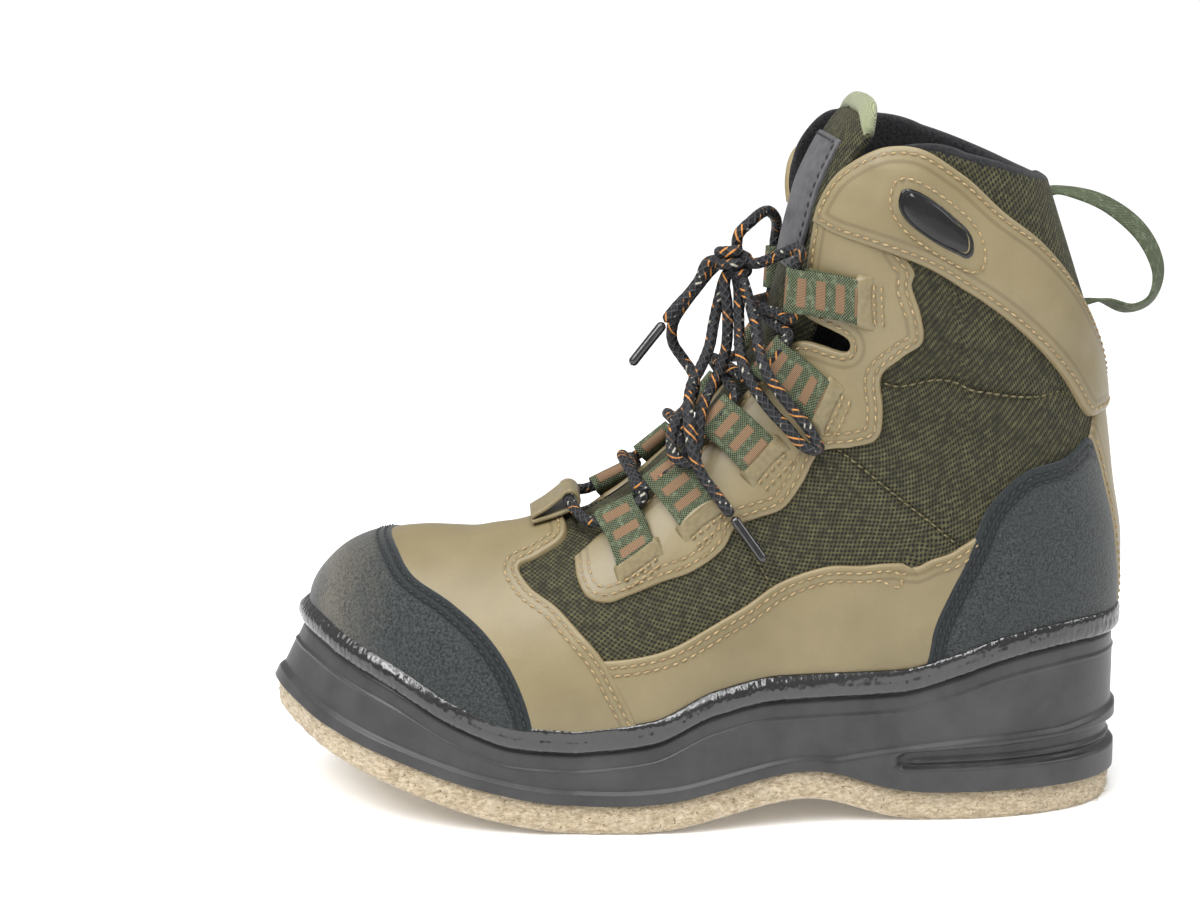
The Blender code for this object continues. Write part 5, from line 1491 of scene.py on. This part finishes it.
def build_hairs(mats, edge, ground, top, rng):
    """Loose fibres on the felt's side, as thin curved three-sided strands in one mesh."""
    verts, faces = [], []
    n = len(RING)
    for _ in range(HAIRS):
        k = int(rng.integers(n))
        share = rng.uniform(0.03, 0.98)
        foot = RING[k, :2] + RING_OUT[k] * (edge[k] - 0.0002)
        base = np.array((*foot, ground[k] + (top[k] - ground[k]) * share))
        base[:2] += rng.uniform(-1, 1) * MM * np.array((-RING_OUT[k, 1], RING_OUT[k, 0]))
        out = np.array((RING_OUT[k, 0], RING_OUT[k, 1], 0.0))
        flow = np.array((-RING_OUT[k, 1], RING_OUT[k, 0], 0.0)) * rng.choice((-1, 1))
        bend = rng.normal(0, 0.6)
        length = rng.uniform(1.0, 4.6) * MM
        first = len(verts)
        for step in range(4):
            share = step / 3
            centre = base + out * length * (0.55 * share - 0.25 * share * share) + flow * length * share * 0.8
            centre = centre + np.array((0, 0, length * bend * share * share * 0.6))
            centre[2] = max(centre[2], 0.0001)
            wide = 0.075 * MM * (1 - 0.6 * share)
            for turn in range(3):
                a = 2 * math.pi * turn / 3
                verts.append(centre + wide * (out * math.cos(a) + np.array((0, 0, 1.0)) * math.sin(a)))
        for step in range(3):
            for turn in range(3):
                a, b = first + 3 * step + turn, first + 3 * step + (turn + 1) % 3
                faces.append((a, b, b + 3, a + 3))
    ob = add_piece("felt_hairs", verts, faces, mats["hair"])


def build_welt(mats):
    rng = np.random.default_rng(11)
    middle, top = contour_offset(BEAD_HEIGHT / 2), contour_offset(BEAD_HEIGHT)
    hug = 0.0004
    inner_middle = np.maximum(middle, 0) + hug
    inner_top = np.maximum(top, np.minimum(middle, 0)) + hug
    outer = BEAD_THICKNESS
    level, h = RING[:, 2], BEAD_HEIGHT
    side = ((0.55, 0.0), (0.82, 0.03), (0.98, 0.12), (1.07, 0.25), (1.10, 0.38), (1.09, 0.52), (1.04, 0.65))
    rings = [(hug, 0.0)] + [(share * outer, rise) for share, rise in side] + [
        (0.55 * outer + 0.45 * (inner_top + 0.45 * outer) + 0.1 * outer, 0.78),
        (0.25 * outer + 0.75 * (inner_top + 0.45 * outer), 0.90), (inner_top + 0.40 * outer, 0.97),
        (inner_top + 0.22 * outer, 1.0), (inner_top, 1.0), (inner_top - 0.001, 0.9), (inner_middle, 0.5),
    ]
    parts = []
    for k, (distance, share) in enumerate(rings):
        lump = np.zeros(len(RING))
        if 2 <= k <= 11:
            lump = rng.normal(0, 0.07, len(RING))
            lump = (lump + np.roll(lump, 1)) * 0.7
        parts.append(ring_at(distance + lump * MM, level + share * h))
    stacked(parts, "welt", mats["bead"], "black_rubber", closed_tube=True)


# Webbing and laces
WEBBING_THICKNESS = 0.0008
LOOP_WIDTH = 0.015
LACE_DIAMETER = 0.0040
LOOP_PLACES = (
    ((9.15, 27), (9.2, 45)),
    ((10.05, 27), (10.25, 47)),
    ((11.25, 25), (11.5, 47)),
    ((12.75, 31), (12.95, 53)),
    ((14.45, 33), (15.3, 59)),
)
LOOP_LIFT = FIT + OVERLAY + 0.0006
TUNNEL = LACE_DIAMETER / 2 + 0.0004
TUNNEL_HEIGHT = LOOP_LIFT + WEBBING_THICKNESS + TUNNEL


def last_frame(section, degrees):
    """Point on the last, its outward normal and its direction up the boot."""
    p = last_point(section, degrees)
    up = last_point(section + 0.05, degrees) - last_point(section - 0.05, degrees)
    around = last_point(section, degrees + 0.5) - last_point(section, degrees - 0.5)
    normal = np.cross(around, up)
    normal /= np.linalg.norm(normal)
    return p, normal, up / np.linalg.norm(up)


def lift(section, degrees, height):
    p, normal, _ = last_frame(section, degrees)
    return p + normal * height


def loop_frame(place, sign):
    """Front of a lace loop, its directions along and across, and its normal."""
    (s0, d0), (s1, d1) = place
    front, front_normal, up = last_frame(s0, sign * d0)
    rear = last_point(s1, sign * d1)
    along = (front - rear) / np.linalg.norm(front - rear)
    up = up - along * np.dot(up, along)
    return front, along, up / np.linalg.norm(up), front_normal


def ribbon(name, paths, thick, mat, slot, width):
    """Ribbon along two edge paths of its middle surface, with rounded edges and a width and length map."""
    left, right = (np.array(path) for path in paths)
    n = len(left)
    across = unit(right - left)
    along = np.gradient((left + right) / 2, axis=0)
    up = unit(np.cross(along, across))
    run = run_length((left + right) / 2)
    profile = []
    for share in np.linspace(0, 1, 9):
        profile.append((share, 0.5))
    profile += [(1.012, 0.25), (1.012, -0.25)]
    for share in np.linspace(1, 0, 9):
        profile.append((share, -0.5))
    profile += [(-0.012, -0.25), (-0.012, 0.25)]
    m = len(profile)
    verts, uv, faces = [], [], []
    for k in range(n):
        for share, rise in profile:
            verts.append(left[k] + (right[k] - left[k]) * share + up[k] * (rise * thick))
            uv.append((share * width, run[k]))
    for k in range(n - 1):
        for j in range(m):
            i = (j + 1) % m
            faces.append((k * m + j, k * m + i, (k + 1) * m + i, (k + 1) * m + j))
    faces += [tuple(range(m)), tuple(range((n - 1) * m, n * m))]
    ob = add_piece(name, verts, faces, mat, uv=uv)
    fix_normals(ob)
    dress(ob, slot, name)


def build_lace_loop(number, side, sign, mats):
    place = LOOP_PLACES[number - 1]
    (s0, d0), (s1, d1) = place
    front, along, up, front_normal = loop_frame(place, sign)
    ahead = along - front_normal * np.dot(along, front_normal)
    ahead /= np.linalg.norm(ahead)
    t = WEBBING_THICKNESS
    centre = front + front_normal * TUNNEL_HEIGHT
    paths = []
    for reach in (-LOOP_WIDTH / 2, LOOP_WIDTH / 2):
        path = []

        def laid(share, height):
            s, d = s1 + (s0 - s1) * share, sign * (d1 + (d0 - d1) * share)
            pace = np.linalg.norm(last_point(s + 0.5, d) - last_point(s - 0.5, d))
            return lift(s + reach / pace, d, height)

        for share in (0.0, 0.2, 0.4, 0.58, 0.75):
            path.append(laid(share, LOOP_LIFT + t / 2))
        for turn in np.radians((-90, -60, -30, 0, 30, 60, 90, 112, 130)):
            ray = ahead * math.cos(turn) + front_normal * math.sin(turn)
            path.append(centre + up * reach + ray * (TUNNEL + t / 2))
        for share, rise in ((0.60, 0.0020), (0.45, 0.0011), (0.28, 0.0005), (0.12, 0.0003), (0.0, 0.0003)):
            path.append(laid(share, LOOP_LIFT + 1.5 * t + rise))
        paths.append(smooth_path(path, 46))
    name = f"lace_loop_{side}_{number}"
    ribbon(name, paths, t * 1.25, mats["webbing"], "olive_webbing", LOOP_WIDTH)
    length = np.linalg.norm(last_point(s1, d1) - last_point(s0, d0))
    build_loop_lip(name.replace("loop", "lip"), lambda reach, behind, height: laid_behind(
        place, sign, reach, behind / length, height), mats)


LIP_BEHIND = (-0.0018, -0.0015, -0.0006, 0.0006, 0.0020, 0.0033, 0.0044)
LIP_RISE = (0.62, 0.92, 1.0, 0.82, 0.42, 0.12, -0.15)


def laid_behind(place, sign, reach, behind, height):
    """A point over the last at a reach along a loop's width and a share of its length behind its end."""
    (s0, d0), (s1, d1) = place
    s, d = s1 - (s0 - s1) * behind, sign * (d1 - (d0 - d1) * behind)
    pace = np.linalg.norm(last_point(s + 0.5, d) - last_point(s - 0.5, d))
    p, normal, _ = last_frame(s + reach / pace, d)
    return p + normal * height, normal


def build_loop_lip(name, at, mats):
    """Leather lip that covers a lace loop's end, with two rows of stitches behind it."""
    top = FIT + OVERLAY + 0.0003
    lift_over = 2.9 * WEBBING_THICKNESS
    columns = 17
    verts, faces = [], []
    for under in (False, True):
        for behind, rise in zip(LIP_BEHIND, LIP_RISE):
            for reach in np.linspace(-1, 1, columns):
                side = 1 - max(0.0, (abs(reach) - 0.72) / 0.28) ** 2
                height = top - 0.0006 if under else top + lift_over * rise * side - 0.0003 * (1 - side)
                bend = 0.0012 * reach * reach
                verts.append(at(reach * (LOOP_WIDTH / 2 + 0.0022), behind + bend, height)[0])
    rows = len(LIP_BEHIND)
    for layer in (0, rows):
        for k in range(rows - 1):
            for j in range(columns - 1):
                a = (layer + k) * columns + j
                faces.append((a, a + 1, a + columns + 1, a + columns))
    low = rows * columns
    rim = list(range(columns)) + [k * columns + columns - 1 for k in range(1, rows)]
    rim += [(rows - 1) * columns + j for j in range(columns - 2, -1, -1)]
    rim += [k * columns for k in range(rows - 2, 0, -1)]
    for a, b in zip(rim, rim[1:] + rim[:1]):
        faces.append((a, b, b + low, a + low))
    ob = add_piece(name, verts, faces, mats["leather_plain"])
    fix_normals(ob)
    for behind in (0.0050, 0.0074):
        row = [at(reach * LOOP_WIDTH, behind, FIT + OVERLAY + 0.0007) for reach in np.linspace(-0.5, 0.5, 9)]
        lay_stitches(np.array([p for p, _ in row]), np.array([n for _, n in row]), True, 2.6)


THROAT_LOOP_WIDTH = 0.018


def build_throat_loop(mats):
    """Leather strap folded over at the foot of the throat, with the lace's bar through it."""
    t = 0.0014
    base, normal, up = last_frame(7.75, 0.0)
    forward = np.cross(np.array((1.0, 0.0, 0.0)), normal)
    forward *= np.sign(np.dot(forward, up))
    low = FIT + OVERLAY + 0.0006
    bore = LACE_DIAMETER / 2 + 0.0006
    centre = base + forward * 0.0085 + normal * (low + t + bore)
    path = [base - forward * 0.007 + normal * (low + 0.0005 + t / 2), base + normal * (low + t / 2)]
    for turn in np.radians((-90, -60, -30, 0, 30, 60, 90, 120, 135)):
        ray = forward * math.cos(turn) + normal * math.sin(turn)
        path.append(centre + ray * (bore + t / 2))
    for back, rise in ((0.0, 0.0022), (0.0065, 0.0008)):
        path.append(base - forward * back + normal * (low + 1.5 * t + rise))
    across = np.array((THROAT_LOOP_WIDTH / 2, 0.0, 0.0))
    path = smooth_path(path, 60)
    ribbon("throat_loop", (path - across, path + across), t, mats["leather_plain"], "tan_leather",
           THROAT_LOOP_WIDTH)
    return centre


PULL_LOOP_WIDTH = 0.012
PULL_LOOP_TURN = math.radians(34)
PULL_LOOP_TOP = 20.3
PULL_LOOP_FOOT = 18.5
PULL_LOOP_PATH = ((0.0065, 0.0012), (0.022, -0.003), (0.036, -0.013), (0.0435, -0.026), (0.042, -0.037),
                  (0.034, -0.041), (0.024, -0.038))


def build_pull_loop(mats):
    """Webbing ribbon behind the collar, from its top seam out and back to the heel patch."""
    top, foot = last_point(PULL_LOOP_TOP, 180.0), last_point(PULL_LOOP_FOOT, 180.0)
    start = top + np.array((0.0, FIT, 0.0))
    end = foot + np.array((0.0, 2 * FIT, 0.0))
    middle = [top + np.array((0.0, y, z)) for y, z in PULL_LOOP_PATH]
    path = smooth_path([start] + middle + [end], 90)
    turn = PULL_LOOP_TURN * np.sin(np.pi * np.linspace(0, 1, len(path)))[:, None]
    side = np.cross(unit(np.gradient(path, axis=0)), np.array((1.0, 0.0, 0.0)))
    across = PULL_LOOP_WIDTH / 2 * (np.array((1.0, 0.0, 0.0)) * np.cos(turn) + side * np.sin(turn))
    ribbon("pull_loop", (path - across, path + across), WEBBING_THICKNESS * 1.3, mats["pull"], "olive_webbing",
           PULL_LOOP_WIDTH)


def smooth_path(points, count):
    """Evenly spaced points on a smooth curve through some points."""
    points = np.array(points)
    fine = np.linspace(0, len(points) - 1, 40 * len(points))
    curve = np.stack([catmull(points[:, k], fine) for k in range(3)], axis=1)
    run = run_length(curve)
    at = np.linspace(0, run[-1], count)
    return at_runs(at, run, curve)


def evened(points, step):
    """Points on a smooth curve, about a step apart."""
    points = np.array(points)
    apart = np.linalg.norm(np.diff(points, axis=0), axis=1)
    t = np.concatenate(([0], np.cumsum(np.maximum(apart, 1e-6) ** 0.5)))
    slope = np.gradient(points, t, axis=0)
    at = np.linspace(0, t[-1], 30 * len(points))
    curve = np.stack([hermite(t, points[:, k], slope[:, k], at) for k in range(3)], axis=1)
    run = run_length(curve)
    count = max(4, int(run[-1] / step) + 1)
    at = np.linspace(0, run[-1], count)
    return at_runs(at, run, curve), run[-1]


def tube(name, path, radius, mat, swell=0.0):
    """Round tube along close points, with its turn and length map."""
    path = np.array(path)
    n = len(path)
    along = unit(np.gradient(path, axis=0))
    side = np.cross(along[0], (0.0, 0.0, 1.0))
    if np.linalg.norm(side) < 0.1:
        side = np.cross(along[0], (1.0, 0.0, 0.0))
    side /= np.linalg.norm(side)
    run = run_length(path)
    verts, uv, faces = [], [], []
    for k in range(n):
        side = side - along[k] * np.dot(side, along[k])
        side /= np.linalg.norm(side)
        top = np.cross(along[k], side)
        r = radius * (1 + swell * math.sin(run[k] * 2 * math.pi / BRAID_PITCH))
        end = min(run[k], run[-1] - run[k])
        if end < radius:
            r *= math.sqrt(max(1 - (1 - end / radius) ** 2, 0.02))
        for turn in range(TUBE_SIDES + 1):
            a = 2 * math.pi * turn / TUBE_SIDES
            verts.append(path[k] + (side * math.cos(a) + top * math.sin(a)) * r)
            uv.append((turn / TUBE_SIDES, run[k]))
    m = TUBE_SIDES + 1
    for k in range(n - 1):
        for j in range(TUBE_SIDES):
            faces.append((k * m + j, k * m + j + 1, (k + 1) * m + j + 1, (k + 1) * m + j))
    faces += [tuple(range(TUBE_SIDES - 1, -1, -1)), tuple((n - 1) * m + j for j in range(TUBE_SIDES))]
    return add_piece(name, verts, faces, mat, uv=uv)


def tunnel_ends(number, sign):
    """Where the lace enters and leaves a loop: its lower and its upper end."""
    front, _, up, normal = loop_frame(LOOP_PLACES[number - 1], sign)
    centre = front + normal * TUNNEL_HEIGHT
    reach = up * (LOOP_WIDTH / 2 + 0.0025)
    return centre - reach, centre + reach


def strand(start, end, over):
    """Lace points between two loops, across the tongue, over or under the other strand."""
    middle = (start + end) / 2
    section = min(np.linspace(8.5, 16, 76), key=lambda s: np.linalg.norm((last_point(s, 0.0) - middle)[1:]))
    ridge, normal, _ = last_frame(section, 0.0)
    crest = ridge + normal * (0.0064 if over else 0.0016)
    rise = 0.0034 if over else 0.0028
    quarter = start * 0.70 + middle * 0.30
    far = end * 0.70 + middle * 0.30
    return [quarter + normal * rise, crest, far + normal * rise]


def places(table):
    """Points of a table of places over the last."""
    section, degrees, height = (column(table, BOW_COLUMNS, name) for name in BOW_COLUMNS)
    return [lift(*place) for place in zip(section, degrees, height / 1000)]


def build_lace(bar, mats):
    """The lace from the knot through all loops, down the one side and up the other, back to the knot."""
    knot = places([KNOT_PLACE])[0]
    points = list(smooth_path([knot + KNOT_IN[0]] + places(TO_KNOT_LATERAL), 7))
    for sign, numbers in ((1, (5, 4, 3, 2, 1)), (-1, (1, 2, 3, 4, 5))):
        for step, number in enumerate(numbers):
            here = sign if (number % 2 == 1) else -sign
            low, high = tunnel_ends(number, here)
            first, last = (high, low) if sign > 0 else (low, high)
            if sign < 0 and step == 0:
                half = np.array((THROAT_LOOP_WIDTH / 2 + 0.0015, 0.0, 0.0))
                points += [bar + half, bar - half]
            elif step > 0:
                lower = number if sign > 0 else number - 1
                points += strand(points[-1], first, over=(sign > 0) == (lower % 2 == 0))
            points += [first, last]
    points += list(smooth_path(places(TO_KNOT_MEDIAL) + [knot + KNOT_IN[1]], 8))
    path, _ = evened(points, 0.0008)
    ob = tube("lace", path, LACE_DIAMETER / 2, mats["braid"], swell=0.02)
    dress(ob, "black_lace", "lace")


def lace_cord(name, path, mats):
    fine, length = evened(path, 0.0008)
    ob = tube(name, fine, LACE_DIAMETER / 2, mats["braid"], swell=0.02)
    dress(ob, "black_lace", name)


def build_bow(mats):
    """Knot, two bow loops and two ends with their aglets; all but the knot's coil start in its middle."""
    centre = places([KNOT_PLACE])[0]
    radius, pitch = 0.6 * LACE_DIAMETER + 0.0025, LACE_DIAMETER + 0.0003
    coil = []
    for turn in np.linspace(0, KNOT_TURNS, round(8 * KNOT_TURNS) + 1):
        a = 2 * math.pi * turn
        rise = (turn - KNOT_TURNS / 2) * pitch
        coil.append(centre + np.array((radius * math.cos(a), radius * math.sin(a), rise)))
    lace_cord("lace_knot", coil, mats)
    left = [centre + KNOT_IN[2]] + places(BOW_LEFT) + [centre + KNOT_IN[3]]
    right = [centre + KNOT_IN[4]] + places(BOW_RIGHT) + [centre + KNOT_IN[5]]
    lace_cord("lace_bow_left", smooth_path(left, 24), mats)
    lace_cord("lace_bow_right", smooth_path(right, 20), mats)
    for name, table, count in (("front", END_FRONT, 5), ("rear", END_REAR, 12)):
        path = smooth_path(places(table), count)
        path = np.concatenate(([centre + KNOT_IN[6 if name == "front" else 7]], path))
        ahead = (path[-1] - path[-2]) / np.linalg.norm(path[-1] - path[-2])
        start = path[-1] + ahead * FIT
        fine, _ = evened([start + ahead * AGLET_LENGTH * k / 8 for k in range(9)], 0.0005)
        tip = tube("aglet_" + name, fine, AGLET_DIAMETER / 2, mats["aglet"])
        dress(tip, "aglet_plastic", "aglet_" + name)
        lace_cord("lace_end_" + name, path, mats)


def build_floor():
    mesh = bpy.data.meshes.new("floor")
    reach = 220.0
    corners = [(-reach, -reach, 0), (reach, -reach, 0), (reach, reach, 0), (-reach, reach, 0)]
    mesh.from_pydata(corners, [], [(0, 1, 2, 3)])
    mat, tree, shader = new_material("floor", (0.93, 0.93, 0.93), 0.8, Specular_IOR_Level=0.2,
                                     Emission_Color=(1.0, 1.0, 1.0, 1.0), Emission_Strength=0.10)
    cloud = noise(tree, place_of(tree), 3.0)
    tree.links.new(mixed(tree, fade(tree, cloud, 0.3, 0.7), (0.92, 0.92, 0.92), (0.94, 0.94, 0.94)),
                   shader.inputs["Base Color"])
    mesh.materials.append(mat)
    ob = add_object("floor", mesh)


# Lights: place, power in watts, and size in metres
AREA_LIGHTS = (
    ("key", (0.55, -0.75, 0.9), 5.0, (0.5, 0.5)),
    ("rim", (0.3, 0.9, 0.9), 4.0, (0.5, 0.5)),
    ("overhead", (0.42, -0.1, 1.2), 10.0, (0.22, 1.5)),
)
WORLD_LIGHT = 0.46
SUN_PLACE = (0.62, -1.0, 1.7)
SUN_STRENGTH = 2.1
SUN_ANGLE = math.radians(50)


def add_lights():
    bpy.context.scene.view_settings.view_transform = "Standard"
    world = bpy.data.worlds.new("studio")
    bpy.context.scene.world = world
    world.use_nodes = True
    ground = world.node_tree.nodes["Background"]
    ground.inputs["Color"].default_value = (1.0, 1.0, 1.0, 1.0)
    ground.inputs["Strength"].default_value = WORLD_LIGHT
    for name, place, power, (size, size_y) in AREA_LIGHTS:
        data = bpy.data.lights.new(name, "AREA")
        data.energy = power
        data.size = size
        if size_y != size:
            data.shape = "RECTANGLE"
            data.size_y = size_y
        aim_light(data, place)
    data = bpy.data.lights.new("sky", "SUN")
    data.energy = SUN_STRENGTH
    data.angle = SUN_ANGLE
    aim_light(data, SUN_PLACE)


def aim_light(data, place):
    ob = add_object(data.name, data)
    ob.location = place
    ob.rotation_euler = (Vector((0.0, -0.1, 0.1)) - Vector(place)).to_track_quat("-Z", "Y").to_euler()


def make_materials():
    return {
        "leather": leather(),
        "leather_plain": plain("tan_strap", (0.168, 0.134, 0.067), (0.212, 0.171, 0.089), 0.42, 500.0, 0.0001),
        "suede": suede(),
        "mesh": woven("olive_mesh", MESH_DARK, MESH_LIGHT, 1.85 * MM),
        "fleece": fleece(),
        "rubber": rubber("sole_rubber", 0.34, 0.46, 0.00006, 900.0, bright=2.7),
        "bead": rubber("bead_rubber", 0.17, 0.25, 0.00050, 620.0, 0.1, stretch=0.5, bright=0.9, spec=0.85),
        "gloss": rubber("insert_rubber", 0.10, 0.2, dust=0.05),
        "felt": felt(),
        "hair": plain("felt_hair", (0.42, 0.32, 0.19), (0.66, 0.56, 0.40), 0.8),
        "webbing": webbing(),
        "pull": webbing("pull_webbing", False),
        "braid": braid(),
        "gold": thread("gold_thread", (0.20, 0.135, 0.060), (0.40, 0.30, 0.155)),
        "black": thread("black_thread", (0.006, 0.008, 0.009), (0.022, 0.026, 0.028)),
        "olive": thread("olive_thread", (0.06, 0.050, 0.022), (0.16, 0.135, 0.065)),
        "tape": tape(),
        "patch": plain("patch", (0.055, 0.053, 0.058), (0.085, 0.083, 0.088), 0.55),
        "aglet": plain("aglet", (0.008, 0.008, 0.009), (0.02, 0.019, 0.018), 0.18, Coat_Weight=0.5),
        "foam": plain("footbed", (0.010, 0.010, 0.011), (0.03, 0.03, 0.032), 0.9, 900.0),
    }


def main():
    add_camera()
    mats = make_materials()
    bar = build_throat_loop(mats)
    build_lace(bar, mats)
    build_bow(mats)
    build_upper(mats)
    build_panels(mats)
    build_inserts(mats)
    build_tongue(mats)
    build_sole(mats)
    build_welt(mats)
    for number in range(1, len(LOOP_PLACES) + 1):
        build_lace_loop(number, "lateral", 1, mats)
        build_lace_loop(number, "medial", -1, mats)
    build_pull_loop(mats)
    build_stitches(mats)
    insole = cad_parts["insole"]
    insole.data.materials.clear()
    insole.data.materials.append(mats["foam"])
    build_floor()
    add_lights()


main()
